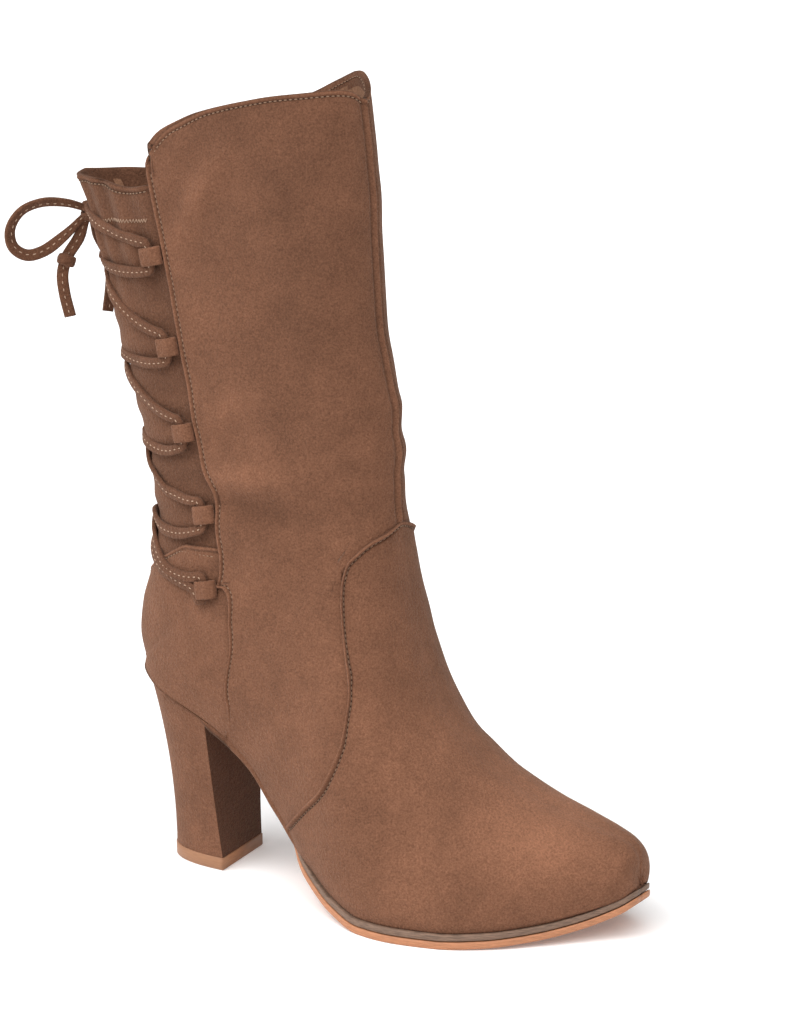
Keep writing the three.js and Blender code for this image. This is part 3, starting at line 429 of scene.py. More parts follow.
def normal(s, f, side):
    """Outward normals of the base form."""
    s = np.maximum(s, STEP_S)
    along = form(s + STEP_S, f, side) - form(s - STEP_S / 2, f, side)
    across = form(s, f + STEP_F, side) - form(s, f - STEP_F, side)
    n = unit(np.cross(across, along))
    core = (ridge_point(s) + edge_point(s)) / 2
    inward = np.sum(n * (form(s, f, side) - core), -1, keepdims=True) < 0
    return np.where(inward, -n, n)


def ease(a, b, x):
    """0 up to a, 1 from b, and a smooth step between."""
    t = np.clip((np.asarray(x, float) - a) / (b - a), 0, 1)
    return t * t * (3 - 2 * t)


def humps(x, table):
    """Sum of smooth humps and hollows, each given by its height, middle and width."""
    return sum(height * np.exp(-(((x - middle) / width) ** 2)) for height, middle, width in table)


# Folds and gathers

# Soft folds of the suede: height and width in mm, and points as (x, z) seen from the side.
# side is -1 on the outer side of the foot, 1 on the inner side, 0 on both.
FOLDS = [
    {"side": -1, "height": 1.3, "width": 5, "at": [(31, 305), (19, 288), (8, 272)]},
    {"side": -1, "height": -0.8, "width": 7, "at": [(38, 298), (28, 281), (18, 264)]},
    {"side": -1, "height": -0.5, "width": 5, "at": [(18, 303), (9, 291), (3, 281)]},
    {"side": 0, "height": 1.9, "width": 6, "at": [(10, 169), (37, 174), (56, 175), (80, 178)]},
    {"side": 0, "height": -2.0, "width": 7, "at": [(10, 170), (36, 163), (58, 160), (84, 162)]},
    {"side": 0, "height": 1.1, "width": 8, "at": [(14, 155), (44, 150), (72, 148)]},
    {"side": -1, "height": 0.9, "width": 5, "at": [(14, 194), (33, 203), (50, 210)]},
    {"side": -1, "height": -0.9, "width": 6, "at": [(16, 186), (42, 191), (62, 198)]},
    {"side": 0, "height": 0.6, "width": 4, "at": [(74, 203), (86, 205), (103, 206)]},
    {"side": 0, "height": -0.6, "width": 4, "at": [(74, 194), (88, 195), (103, 197)]},
    {"side": 0, "height": 0.7, "width": 4, "at": [(74, 185), (86, 187), (103, 188)]},
    {"side": 0, "height": -0.6, "width": 4, "at": [(76, 177), (88, 178), (103, 179)]},
    {"side": -1, "height": -0.5, "width": 8, "at": [(60, 232), (48, 252), (40, 275)]},
    {"side": -1, "height": 0.5, "width": 8, "at": [(70, 238), (60, 256), (54, 280)]},
    {"side": 0, "height": -0.6, "width": 6, "at": [(132, 52), (126, 38), (120, 26)]},
    {"side": 0, "height": 0.5, "width": 6, "at": [(120, 60), (114, 45), (108, 30)]},
    {"side": 0, "height": -0.5, "width": 9, "at": [(8, 120), (22, 112), (34, 100)]},
]

# Painted highlights and painted shade on the suede, where light falls and where shade falls: tone as
# a share, the rest as in FOLDS.
PAINTED_LIGHT = [
    {"side": 0, "tone": -0.12, "width": 45, "at": [(40, 160), (40, 250), (40, 370)]},
    {"side": 0, "tone": 0.12, "width": 32, "at": [(96, 90), (140, 50), (215, 10)]},
    {"side": 0, "tone": 0.34, "width": 15, "at": [(142, 58), (164, 42), (190, 28)]},
    {"side": 0, "tone": -0.14, "width": 9, "at": [(128, 66), (140, 40), (152, 22)]},
    {"side": 0, "tone": 0.1, "width": 12, "at": [(104, 94), (116, 60)]},
    {"side": 0, "tone": -0.1, "width": 10, "at": [(98, 64), (112, 30)]},
    {"side": -1, "tone": 0.26, "width": 5, "at": [(31, 305), (19, 288), (8, 272)]},
    {"side": -1, "tone": 0.28, "width": 7, "at": [(14, 171), (37, 175), (56, 176)]},
    {"side": -1, "tone": -0.28, "width": 7, "at": [(20, 167), (42, 161), (74, 160)]},
    {"side": -1, "tone": 0.12, "width": 6, "at": [(14, 194), (33, 203), (50, 210)]},
    {"side": -1, "tone": -0.14, "width": 22, "at": [(62, 345), (74, 250), (78, 180)]},
    {"side": -1, "tone": -0.1, "width": 14, "at": [(0, 320), (70, 335)]},
    {"side": -1, "tone": 0.1, "width": 14, "at": [(8, 260), (20, 200)]},
    {"side": 1, "tone": -0.3, "width": 60, "at": [(40, 360), (50, 100)]},
]
STROKE_END = 0.3  # strength left at a stroke's ends


def stroke_near(x, z, points, width):
    """How near places seen from the side are to a stroke, which thins out at its ends."""
    points = np.asarray(points, float)
    steps = np.linalg.norm(np.diff(points, axis=0), axis=1)
    begin = np.concatenate([[0], np.cumsum(steps)])
    best = np.full(np.shape(x), np.inf)
    share = np.zeros(np.shape(x))
    for k, (a, b) in enumerate(zip(points, points[1:])):
        d = b - a
        t = np.clip(((x - a[0]) * d[0] + (z - a[1]) * d[1]) / (d @ d), 0, 1)
        off = np.hypot(x - a[0] - t * d[0], z - a[1] - t * d[1])
        share = np.where(off < best, (begin[k] + t * steps[k]) / begin[-1], share)
        best = np.minimum(best, off)
    strength = STROKE_END + (1 - STROKE_END) * np.sin(math.pi * share)
    return humps(best, [(1, 0, width)]) * strength


def strokes(p, side, table, size):
    """Sum of soft strokes of a table at points of the form."""
    x, z = p[..., 0], p[..., 2]
    total = np.zeros(x.shape)
    for stroke in table:
        near = stroke_near(x, z, stroke["at"], stroke["width"])
        here = 1 if stroke["side"] == 0 else side == stroke["side"]
        total += stroke[size] * near * here
    return total


# Long soft waves of the stretched suede: radians per mm in x and in z, phase, height in mm
RIPPLES = [(0.11, 0.19, 0.6, 0.13), (0.23, -0.09, 2.1, 0.08), (-0.17, 0.28, 4.0, 0.06)]


def ripples(p):
    """Slight unevenness of the stretched suede, as long soft waves."""
    x, z = p[..., 0], p[..., 2]
    return sum(h * np.sin(a * x + b * z + c) for a, b, c, h in RIPPLES)
GROUNDED = (0, 0.12)  # shares up from the sole over which folds come in


def relief(p, s, f, side):
    """Height of folds and ripples, which fade at the sole."""
    grounded = ease(*GROUNDED, 1 - f) * (s < HEEL_POINT_ROW) + (s >= HEEL_POINT_ROW)
    return (strokes(p, side, FOLDS, "height") + ripples(p)) * grounded


# The elastic's gathers: heights over the floor, and pitches round the gusset
GATHER_PITCH = 5.2
GATHER_SLOW_PITCH = 11.3
HEM_CALM = (314, 296)
BULGE_END = (262, 280)
GATHER_RISE = (228, 266)
LACE_PINCH = [(1, height, 7) for height in (250, 212, 177, 146)]

# Heights of the pleats, the slower waves, the bulges, what a lace takes off them, and creases
PLEAT = 0.6
SLOW_WAVE = 0.5
BULGE = 1.7
PINCH = 1.5
CREASE = 0.6
ROUND_WIDTH = 2.2  # the half round of a section in its half widths


def gathers(s, f, side, p):
    """Pleats of the elastic at the gusset's top, and bulges between the laces."""
    z = p[..., 2]
    round_mm = (1 - f) * ROUND_WIDTH * widest_half(s) * side
    sway = 1.3 * np.sin(z * 0.07 + round_mm * 0.09)
    pleat = np.sin(2 * math.pi * round_mm / GATHER_PITCH + sway)
    slow = np.sin(2 * math.pi * round_mm / GATHER_SLOW_PITCH + 0.07 * z)
    top = ease(*GATHER_RISE, z) * ease(*HEM_CALM, z)
    at_back = ease(0.6, 0.82, f)
    bulge = (BULGE - PINCH * humps(z, LACE_PINCH)) * at_back * (1 - ease(*BULGE_END, z))
    crease = CREASE * np.sin(0.33 * z + 0.21 * round_mm) * np.sin(0.17 * z + 1) * (1 - top)
    away = np.clip((s - counter_top(np.clip((f - 0.55) / 0.45, 0, 1))) / 0.7, 0, 1)
    return (top * (PLEAT * pleat + SLOW_WAVE * slow) + bulge + crease) * away


# Meshes


def mesh_object(name, points, faces, material, smooth=True):
    """A mesh in metres from points in millimetres."""
    mesh = bpy.data.meshes.new(name)
    mesh.from_pydata((np.asarray(points, float) * MM).tolist(), [], faces)
    mesh.materials.append(material)
    mesh.polygons.foreach_set("use_smooth", [smooth] * len(mesh.polygons))
    mesh.update()
    obj = bpy.data.objects.new(name, mesh)
    bpy.context.scene.collection.objects.link(obj)
    return obj


def weld(obj, distance=2e-6, fill=False):
    """Joins vertices at one place, closes holes if asked, and turns the faces outward."""
    work = bmesh.new()
    work.from_mesh(obj.data)
    bmesh.ops.remove_doubles(work, verts=work.verts, dist=distance)
    if fill:
        bmesh.ops.holes_fill(work, edges=work.edges)
    bmesh.ops.recalc_face_normals(work, faces=work.faces)
    work.to_mesh(obj.data)
    work.free()


def grid_faces(rows, columns, closed=False):
    """Faces of a grid of points, whose rows are rings where it is closed."""
    i, j = np.meshgrid(np.arange(rows - 1), np.arange(columns - (not closed)), indexing="ij")
    k = (j + 1) % columns
    quads = [i * columns + j, i * columns + k, (i + 1) * columns + k, (i + 1) * columns + j]
    return np.stack(quads, -1).reshape(-1, 4).tolist()


def paint(obj, tone):
    """Sets the painted light at each vertex: above 0 a painted highlight, below 0 painted shade."""
    values = np.asarray(tone, float).ravel()
    obj.data.attributes.new("tone", "FLOAT", "POINT").data.foreach_set("value", values)


def grid_object(name, points, material, tone=None):
    """A sheet from a grid of points, with its tone if it has one."""
    rows, columns = points.shape[:2]
    obj = mesh_object(name, points.reshape(-1, 3), grid_faces(rows, columns), material)
    if tone is not None:
        paint(obj, tone)
    return obj


def sewn_sheet(name, points, material, tone):
    """A sheet whose doubled vertices are joined."""
    obj = grid_object(name, points, material, tone)
    weld(obj)
    return obj


def ring_body(name, rings, material, ends="flat"):
    """A body from equal rings of points. Its ends are flat, filled or open."""
    rings = np.array(rings)
    rows, columns = rings.shape[:2]
    faces = grid_faces(rows, columns, closed=True)
    if ends == "flat":
        faces.append(list(range(columns)))
        faces.append([(rows - 1) * columns + k for k in range(columns)])
    obj = mesh_object(name, rings.reshape(-1, 3), faces, material)
    weld(obj, fill=ends == "filled")
    return obj


def finish_piece(obj, slot, *nodes):
    """Hides the nodes of the solid model that a piece stands for, and hangs the piece under the root
    body. The slot is not used.
    """
    if nodes:
        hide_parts(*nodes)
    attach(obj, "root")
    return obj


# Materials


def set_inputs(node, **values):
    """Sets a node's inputs by name, with a low line for each space."""
    for name, value in values.items():
        node.inputs[name.replace("_", " ")].default_value = value


def new_material(name, roughness, sheen=0.0):
    """A material with its nodes, its shader and object coordinates."""
    material = bpy.data.materials.new(name)
    material.use_nodes = True
    nodes = material.node_tree.nodes
    shader = nodes["Principled BSDF"]
    set_inputs(shader, Roughness=roughness, Sheen_Weight=sheen)
    place = nodes.new("ShaderNodeTexCoord")
    return material, nodes, material.node_tree.links, shader, place


def noise(nodes, links, place, scale, detail=4, roughness=0.6, stretch=None):
    """The value of a noise texture in object coordinates."""
    texture = nodes.new("ShaderNodeTexNoise")
    set_inputs(texture, Scale=scale, Detail=detail, Roughness=roughness)
    source = place.outputs["Object"]
    if stretch:
        mapping = nodes.new("ShaderNodeMapping")
        mapping.inputs["Scale"].default_value = stretch
        links.new(source, mapping.inputs["Vector"])
        source = mapping.outputs["Vector"]
    links.new(source, texture.inputs["Vector"])
    return texture.outputs["Fac"]


def ramp(nodes, links, source, stops):
    """A color ramp over a value, from stops of place and color."""
    node = nodes.new("ShaderNodeValToRGB")
    points = node.color_ramp.elements
    while len(points) < len(stops):
        points.new(0.5)
    for element, (at, color) in zip(points, stops):
        element.position = at
        element.color = (*color, 1)
    links.new(source, node.inputs["Fac"])
    return node.outputs["Color"]


def mix_colors(nodes, links, kind, share, a, b):
    """Two colors mixed by a share."""
    node = nodes.new("ShaderNodeMix")
    node.data_type = "RGBA"
    node.blend_type = kind
    node.inputs["Factor"].default_value = share
    links.new(a, node.inputs["A"])
    links.new(b, node.inputs["B"])
    return node.outputs["Result"]


def bumps(nodes, links, shader, layers):
    """Stacks bump layers, each a texture value, a depth in metres and a strength."""
    last = None
    for value, depth, strength in layers:
        node = nodes.new("ShaderNodeBump")
        set_inputs(node, Distance=depth, Strength=strength)
        links.new(value, node.inputs["Height"])
        if last:
            links.new(last, node.inputs["Normal"])
        last = node.outputs["Normal"]
    links.new(last, shader.inputs["Normal"])


def shade(color, factor):
    """A color made lighter or darker by a factor."""
    return tuple(min(c * factor, 1) for c in color)


def two_tones(nodes, links, source, color, contrast, low, high):
    """A ramp from a darker to a lighter shade of a color, between two values."""
    stops = [(low, shade(color, 1 - contrast)), (high, shade(color, 1 + contrast))]
    return ramp(nodes, links, source, stops)


SPECK = [(0.32, (0.5, 0.46, 0.44)), (0.68, (1, 1, 1))]


def suede(name, color, contrast=0.18, grain=0.8):
    """Napped suede: mottled tone, fine pebbled grain and a soft sheen, its colour scaled by the
    painted highlights and shade of the tone attribute.
    """
    material, nodes, links, shader, place = new_material(name, 0.95, sheen=0.14)
    set_inputs(shader, Sheen_Roughness=0.4, Specular_IOR_Level=0.15)
    set_inputs(shader, Sheen_Tint=(0.95, 0.7, 0.55, 1))
    patches = noise(nodes, links, place, 48, detail=7, roughness=0.78)
    grains = noise(nodes, links, place, 1300, detail=2, roughness=0.75)
    tone = two_tones(nodes, links, patches, color, contrast, 0.32, 0.68)
    speck = ramp(nodes, links, grains, SPECK)
    grained = mix_colors(nodes, links, "MULTIPLY", 0.8, tone, speck)
    # The tone attribute holds painted highlights and painted shade; the colour is scaled by one plus
    # it
    painted_light_attribute = nodes.new("ShaderNodeAttribute")
    painted_light_attribute.attribute_name = "tone"
    level = nodes.new("ShaderNodeMath")
    level.operation = "ADD"
    level.inputs[1].default_value = 1
    links.new(painted_light_attribute.outputs["Fac"], level.inputs[0])
    scaled = nodes.new("ShaderNodeVectorMath")
    scaled.operation = "SCALE"
    links.new(grained, scaled.inputs[0])
    links.new(level.outputs["Value"], scaled.inputs["Scale"])
    links.new(scaled.outputs["Vector"], shader.inputs["Base Color"])
    pebble = noise(nodes, links, place, 620, detail=3, roughness=0.6)
    bumps(nodes, links, shader, [(pebble, 0.0009, grain), (grains, 0.0005, grain)])
    return material


def plain(name, color, roughness, contrast, scale, depth, stretch=None):
    """A moulded or woven surface with slight changes of tone and relief."""
    material, nodes, links, shader, place = new_material(name, roughness)
    set_inputs(shader, Specular_IOR_Level=0.35)
    value = noise(nodes, links, place, scale, stretch=stretch)
    tone = two_tones(nodes, links, value, color, contrast, 0.3, 0.7)
    links.new(tone, shader.inputs["Base Color"])
    bumps(nodes, links, shader, [(value, depth, 0.4)])
    return material


SUEDE_BROWN = (0.205, 0.093, 0.053)
UPPER_SUEDE = suede("upper_suede", SUEDE_BROWN)
HEEL_SUEDE = suede("heel_suede", SUEDE_BROWN, contrast=0.24)
GUSSET_SUEDE = suede("gusset_suede", shade(SUEDE_BROWN, 0.72), contrast=0.1)
# A darker copy of the heel's suede: painted shade for the heel's breast
BREAST_PAINTED_SHADE_SUEDE = suede("heel_breast_painted_shade_suede", shade(SUEDE_BROWN, 0.5), contrast=0.1)
LACE_SUEDE = suede("lace_suede", shade(SUEDE_BROWN, 0.74), contrast=0.15)
THREAD = plain("brown_thread", (0.26, 0.16, 0.1), 0.7, 0.1, 800, 0.0001)
# Near black: painted shade in the needle holes
HOLE_SHADE = plain("needle_holes", (0.035, 0.018, 0.012), 0.95, 0.1, 800, 0.0001)
PALE_THREAD = plain("pale_thread", (0.42, 0.28, 0.19), 0.7, 0.1, 800, 0.0001)
LINING_CLOTH = suede("lining_cloth", (0.30, 0.155, 0.09), contrast=0.12, grain=0.6)
INSOLE_CLOTH = plain("insole_cloth", (0.35, 0.22, 0.14), 0.8, 0.12, 900, 0.0002)
WELT_FINISH = plain("welt_finish", (0.17, 0.105, 0.072), 0.6, 0.38, 260, 0.0003, (1, 1, 9))
TOP_RUBBER = plain("heel_top_rubber", (0.3, 0.145, 0.075), 0.5, 0.1, 240, 0.0002, (1, 1, 9))
TAN_RUBBER = plain("tan_rubber", (0.42, 0.18, 0.088), 0.5, 0.22, 240, 0.0003, (1, 1, 9))

# Distances on the form


def rows_per_mm(s, f, side):
    """Rows for each mm up the form."""
    span = np.linalg.norm(form(s + STEP_S, f, side) - form(s - STEP_S, f, side), axis=-1)
    return 2 * STEP_S / np.maximum(span, 1e-4)


def share_per_mm(s, f, side):
    """Share of a section for each mm round it."""
    span = np.linalg.norm(form(s, f + STEP_F, side) - form(s, f - STEP_F, side), axis=-1)
    return 2 * STEP_F / np.maximum(span, 1e-4)


def mm_off(level, s, f, side):
    """Distance in mm to the line where level(s, f) is zero, nearby."""
    along = (level(s + STEP_S, f) - level(s - STEP_S, f)) / (2 * STEP_S) * rows_per_mm(s, f, side)
    across = (level(s, f + STEP_F) - level(s, f - STEP_F)) / (2 * STEP_F)
    across = across * share_per_mm(s, f, side)
    return level(s, f) / np.maximum(np.hypot(along, across), 1e-6)


def ridge_shares(s, side, distances):
    """Shares at given distances in mm from the ridge, a row for each s."""
    steps = np.linspace(0, 0.2, 80)
    found = []
    for row in s:
        line = form(row, steps, side)
        found.append(np.interp(distances, np.linalg.norm(line - line[0], axis=-1), steps))
    return np.array(found)


def outline(s, side, outward):
    """The upper's lower edge moved outward in plan, at height 0."""
    before = np.maximum(s - STEP_S, 0)
    after = np.minimum(s + STEP_S, HEEL_POINT_ROW)
    aft = edge_half(np.minimum(s + STEP_S, HEEL_POINT_ROW - STEP_S / 100))
    run = edge_point(after) - edge_point(before)
    run[..., 1] += side * (aft - edge_half(before))
    n = unit(np.stack([-run[..., 1], run[..., 0]], -1)) * -np.asarray(side)[..., None]
    n = np.where((s <= 0)[..., None], (1, 0), n)
    n = np.where((s >= HEEL_POINT_ROW)[..., None], (-1, 0), n)
    p = edge_point(s)
    y = p[..., 1] + side * edge_half(s) + n[..., 1] * outward
    return np.stack([p[..., 0] + n[..., 0] * outward, y, np.zeros_like(y)], -1)


# The upper's sheets

# Distances in mm from the front seam and from a cut edge, where a sheet has its own columns
NEAR_RIDGE = [0, 0.35, 0.7, 1.05, 1.4, 1.8, 2.2, 2.7, 3.3, 4]
NEAR_EDGE = [5, 4.2, 3.5, 3.0, 2.65, 2.3, 1.95, 1.6, 1.2, 0.85, 0.5, 0.25, 0.08]

# How deep each step of an edge lies as it turns in: at the side seam, and at a top as (rows, depth)
SEAM_DROP = [0.25, 0.7, 1.2, WALL, WALL]
TURN_IN = [(0, 0.35), (0, 1.1), (0.02, 1.75), (0.1, WALL), (0.5, WALL)]

# The lower edge as it turns under, each step as (outward, down): over the welt, waist and heel
WELT_TURN = [(-0.1, 0.1), (-0.3, 0.15), (-0.6, 0.15), (-1, 0.1), (-1.5, 0)]
WAIST_TURN = [(0.4, 0.7), (0.5, 1.9), (0.1, 3.0), (-0.9, 3.7), (-2.8, 4.0)]
HEEL_TURN = [(0.2, 0.2), (0.2, 0.7), (-0.2, 0.95), (-1.2, 0.9), (-2.2, 0.3)]
STITCH_INSET = 2.3

# Humps and hollows as (height, middle, width), in mm from seams and edges, or in rows from the toe
FRONT_SEAM = [(1.1, 0, 1.15), (-0.5, 2.3, 0.6)]
# Painted highlight on the front seam's ridge, painted shade in the hollow beside it
FRONT_SEAM_PAINTED_LIGHT = [(0.15, 0, 1), (-0.28, 2.2, 0.5)]
EDGE_BAND = [(1, 1, 0.9)]
EDGE_GROOVE = [(-0.8, STITCH_INSET, 0.45)]
# Painted highlight on the band beside an edge, painted shade in the stitch groove and right at the
# edge
EDGE_PAINTED_LIGHT = [(0.22, 1, 0.6), (-0.3, STITCH_INSET, 0.5), (-0.45, 0, 0.4)]

# Painted shade beside the side seam, by the share of the piece's width
GUSSET_SEAM_PAINTED_SHADE = [(-0.25, 0, 0.05)]
COUNTER_SEAM_PAINTED_SHADE = [(-0.3, 0, 0.06)]

# How upper and sole are rounded off at the toe: set in at the tip, fuller at the shoulders
TOE_SHAPE = [(0.9, 2.5, 1.2), (-2.4, 0, 1.6)]
SOLE_TOE_SHAPE = [(1.3, 2.5, 1.2), (-2.7, 0, 1.4)]
MIDDLE_ROW = 28.0  # the panels' columns are spread by their widths here
EVEN_ROW = 16.0  # above this row the panels' rows are even
UNDER_VAMP = 0.22  # rows that the panels reach under the vamp
EDGE_PROBE = 0.3  # rows before the vamp's edge where its slope is measured
SEAM_LAP = 0.012  # share that gusset and counter reach under the panels
LINING_LAP = 0.006
PANEL_LINING_DROP = 0.25
LINING_TOE_ROW = 2.0
HEM_GAP = 0.3  # rows between a sheet's even rows and its top edge
# Height of the band beside an edge, in mm
VAMP_SWELL = 1.2
TOP_SWELL = 0.35
SEAM_SWELL = 0.7
HEM_SWELL = 0.4

# Rows close to a top edge: back from it in mm or in rows, and the depth in the wall
PANEL_TURN_BACK = (0, 0, 0, 1.5, 6)
GUSSET_TOP_ROWS = [(0.12, 0), (0.08, 0), (0.05, 0), (0.02, 0), (0.008, 0.1), *TURN_IN]
COUNTER_TOP_ROWS = (0.25, 0.2, 0.16, 0.12, 0.08, 0.05, 0.02, 0, 0)
GUSSET_EVEN_END = 0.16
VAMP_TUCK = 0.6
COUNTER_TUCK = 1.6
COUNTER_SUNK = 0.3
SHAFT_ROWS = (14.6, 15.3)  # seams down the shaft come in over these rows
FOOT_ROWS = (15.0, 14.6)  # below these the panel's edge goes under the foot

# Rows and columns of the sheets' even parts, on one side of the foot
VAMP_GRID = (110, 110)
PANEL_LOW_ROWS = 50
PANEL_HIGH_ROWS = 120
PANEL_COLUMNS = 70
GUSSET_GRID = (190, 130)
COUNTER_GRID = (90, 90)
COUNTER_HIGH_ROWS = 46
LINING_GRID = (150, 60)


def both_sides(shares):
    """Columns from the outer side over the middle to the inner side."""
    share = np.concatenate([shares[::-1], shares[1:]])
    side = np.concatenate([-np.ones(len(shares)), np.ones(len(shares) - 1)])
    return share, side


def edge_relief(d, swell):
    """Height beside a sewn edge: a low band, then the groove of its stitches."""
    return swell * (ease(0, 0.5, d) * humps(d, EDGE_BAND) + humps(d, EDGE_GROOVE))


def turned_under(s, side):
    """Points of the lower edge as it turns under, one column for each step."""
    waist = ease(11.3, 12.5, s)
    heel = ease(SEAT_ROW - 0.25, SEAT_ROW + 0.1, s)
    p = outline(s, side, 0)
    n = unit(outline(s, side, 1) - p)
    p[..., 2] = edge_point(s)[..., 2]
    columns = []
    for steps in zip(WELT_TURN, WAIST_TURN, HEEL_TURN):
        moves = [w + (a - w) * waist + (h - w - (a - w) * waist) * heel for w, a, h in zip(*steps)]
        columns.append(p + n * moves[0][..., None] - np.array([0, 0, 1.0]) * moves[1][..., None])
    return np.stack(columns, 1)


def vamp_level(s, f):
    """Rows left to the vamp's edge."""
    return vamp_edge(np.abs(f)) - s


def vamp_rows_per_mm(f, side):
    """Rows for each mm of distance from the vamp's edge."""
    return EDGE_PROBE / np.abs(mm_off(vamp_level, vamp_edge(f) - EDGE_PROBE, f, side))


def vamp_sheet():
    """The vamp, from the toe's tip to its edge over the panels."""
    shares, side = both_sides(np.linspace(0, 1, VAMP_GRID[1]))
    split = vamp_edge(shares)
    slope = vamp_rows_per_mm(shares, side)
    body = np.linspace(0, 1, VAMP_GRID[0]) ** 1.25
    rows = [k * (split - NEAR_EDGE[0] * slope) for k in body]
    rows += [split - d * slope for d in NEAR_EDGE[1:]]
    rows += [split, split]
    s = np.array(rows)
    f = np.broadcast_to(shares, s.shape)
    sides = np.broadcast_to(side, s.shape)
    d = mm_off(vamp_level, s, f, sides)
    p = form(s, f, sides)
    height = (VAMP_STEP + edge_relief(d, VAMP_SWELL)) * (0.35 + 0.65 * ease(0.0, 0.12, f))
    height[-1] = -VAMP_TUCK
    height *= 0.2 + 0.8 * ease(0.0, 0.05, 1 - f)
    height += relief(p, s, f, sides) + humps(s, TOE_SHAPE)
    height[0] = VAMP_STEP * 0.2 + humps(0, TOE_SHAPE)
    n = normal(s, f, sides)
    n[0] = (1, 0, 0)
    # Painted highlights and painted shade: the strokes, and the band, groove and edge
    tone = strokes(p, sides, PAINTED_LIGHT, "tone") + humps(d, EDGE_PAINTED_LIGHT)
    outer, inner = turned_under(s[:, 0], -1), turned_under(s[:, -1], 1)
    points = np.concatenate([outer[:, ::-1], p + n * height[..., None], inner], axis=1)
    under = len(WELT_TURN)
    tone = np.pad(tone, ((0, 0), (under, under)), mode="edge")
    return sewn_sheet("vamp", points, UPPER_SUEDE, tone)


def panel_columns(s, side, inner, edge_columns):
    """Shares of one panel's columns at rows s, which hold a row for each column."""
    seam = seam_share(s)
    unit_share = share_per_mm(s, np.minimum(seam, 1 - STEP_F) - 2 * STEP_F, side)
    near = ridge_shares(s[:, s.shape[1] // 2], side, NEAR_RIDGE)
    first = near[:, -1]
    last = seam[:, -1] - NEAR_EDGE[0] * unit_share[:, -1]
    f = np.array(seam)
    f[:, : near.shape[1]] = near
    start = near.shape[1] + len(inner)
    f[:, near.shape[1] : start] = first[:, None] + (last - first)[:, None] * inner
    for k, d in enumerate(edge_columns):
        f[:, start + k] = seam[:, start + k] - d * unit_share[:, start + k]
    return f


def panel_half(side):
    """Rows and shares of one side panel, its columns from the front seam backward."""
    inner = np.linspace(0, 1, PANEL_COLUMNS)[1:]
    edge_columns = NEAR_EDGE[1:] + [0]
    columns = len(NEAR_RIDGE) + len(inner) + len(edge_columns) + len(SEAM_DROP)
    middle = np.full((1, columns), MIDDLE_ROW)
    share = (panel_columns(middle, side, inner, edge_columns) / seam_share(middle))[0]
    share = np.clip(share, 0, 1)
    top = panel_top[side](share)
    low = np.full(columns, 12.0)
    for _ in range(12):
        low = vamp_edge(np.clip(share * seam_share(low), 0, 1))
    low = low - UNDER_VAMP
    scale = rows_per_mm(top, share * seam_share(top), side)
    high = top - NEAR_EDGE[0] * scale
    rows = [low + (EVEN_ROW - low) * t for t in np.linspace(0, 1, PANEL_LOW_ROWS)[:-1]]
    rows += [EVEN_ROW + (high - EVEN_ROW) * t for t in np.linspace(0, 1, PANEL_HIGH_ROWS)]
    rows += [top - d * scale for d in NEAR_EDGE[1:]]
    in_wall = [0] * len(rows) + [depth for _, depth in TURN_IN]
    rows += [top - back * scale for back in PANEL_TURN_BACK]
    s = np.array(rows)
    f = panel_columns(s, side, inner, edge_columns)
    return s, f, np.array(in_wall), columns - len(SEAM_DROP)


def side_panel(side, name):
    """One side panel from the front seam to the side seam, its edges turned in."""
    s, f, in_wall, end = panel_half(side)
    p = form(s, f, side)
    seam_d = (seam_share(s) - f) / share_per_mm(s, np.minimum(f, 1 - STEP_F), side)
    share = np.clip(f / seam_share(s), 0, 1)
    top_d = (panel_top[side](share) - s) / rows_per_mm(s, f, side)
    ridge_d = np.linalg.norm(p - form(s, 0 * f, side), axis=-1)
    shaft = ease(*SHAFT_ROWS, s)
    height = relief(p, s, f, side) + edge_relief(top_d, TOP_SWELL)
    height += (edge_relief(seam_d, SEAM_SWELL) + humps(ridge_d, FRONT_SEAM)) * shaft
    # Painted highlights and painted shade: the strokes, and beside the top, the side seam and the
    # front seam
    tone = strokes(p, np.full(s.shape, side), PAINTED_LIGHT, "tone") + humps(top_d, EDGE_PAINTED_LIGHT)
    tone += (humps(seam_d, EDGE_PAINTED_LIGHT) + humps(ridge_d, FRONT_SEAM_PAINTED_LIGHT)) * shaft
    height = np.where(in_wall[:, None] > 0, -in_wall[:, None], height)
    height -= 0.5 * ease(0.16, 0.0, s - s[0])
    drops = np.zeros(s.shape[1])
    drops[end:] = SEAM_DROP
    height = np.where(drops > 0, np.minimum(height, -drops), height)
    points = p + normal(s, f, side) * height[..., None]
    foot = ease(*FOOT_ROWS, s[:, -1])[:, None, None]
    turned = turned_under(s[:, -1], side)
    points[:, end:] += (turned - points[:, end:]) * foot
    return sewn_sheet(name, points, UPPER_SUEDE, tone)


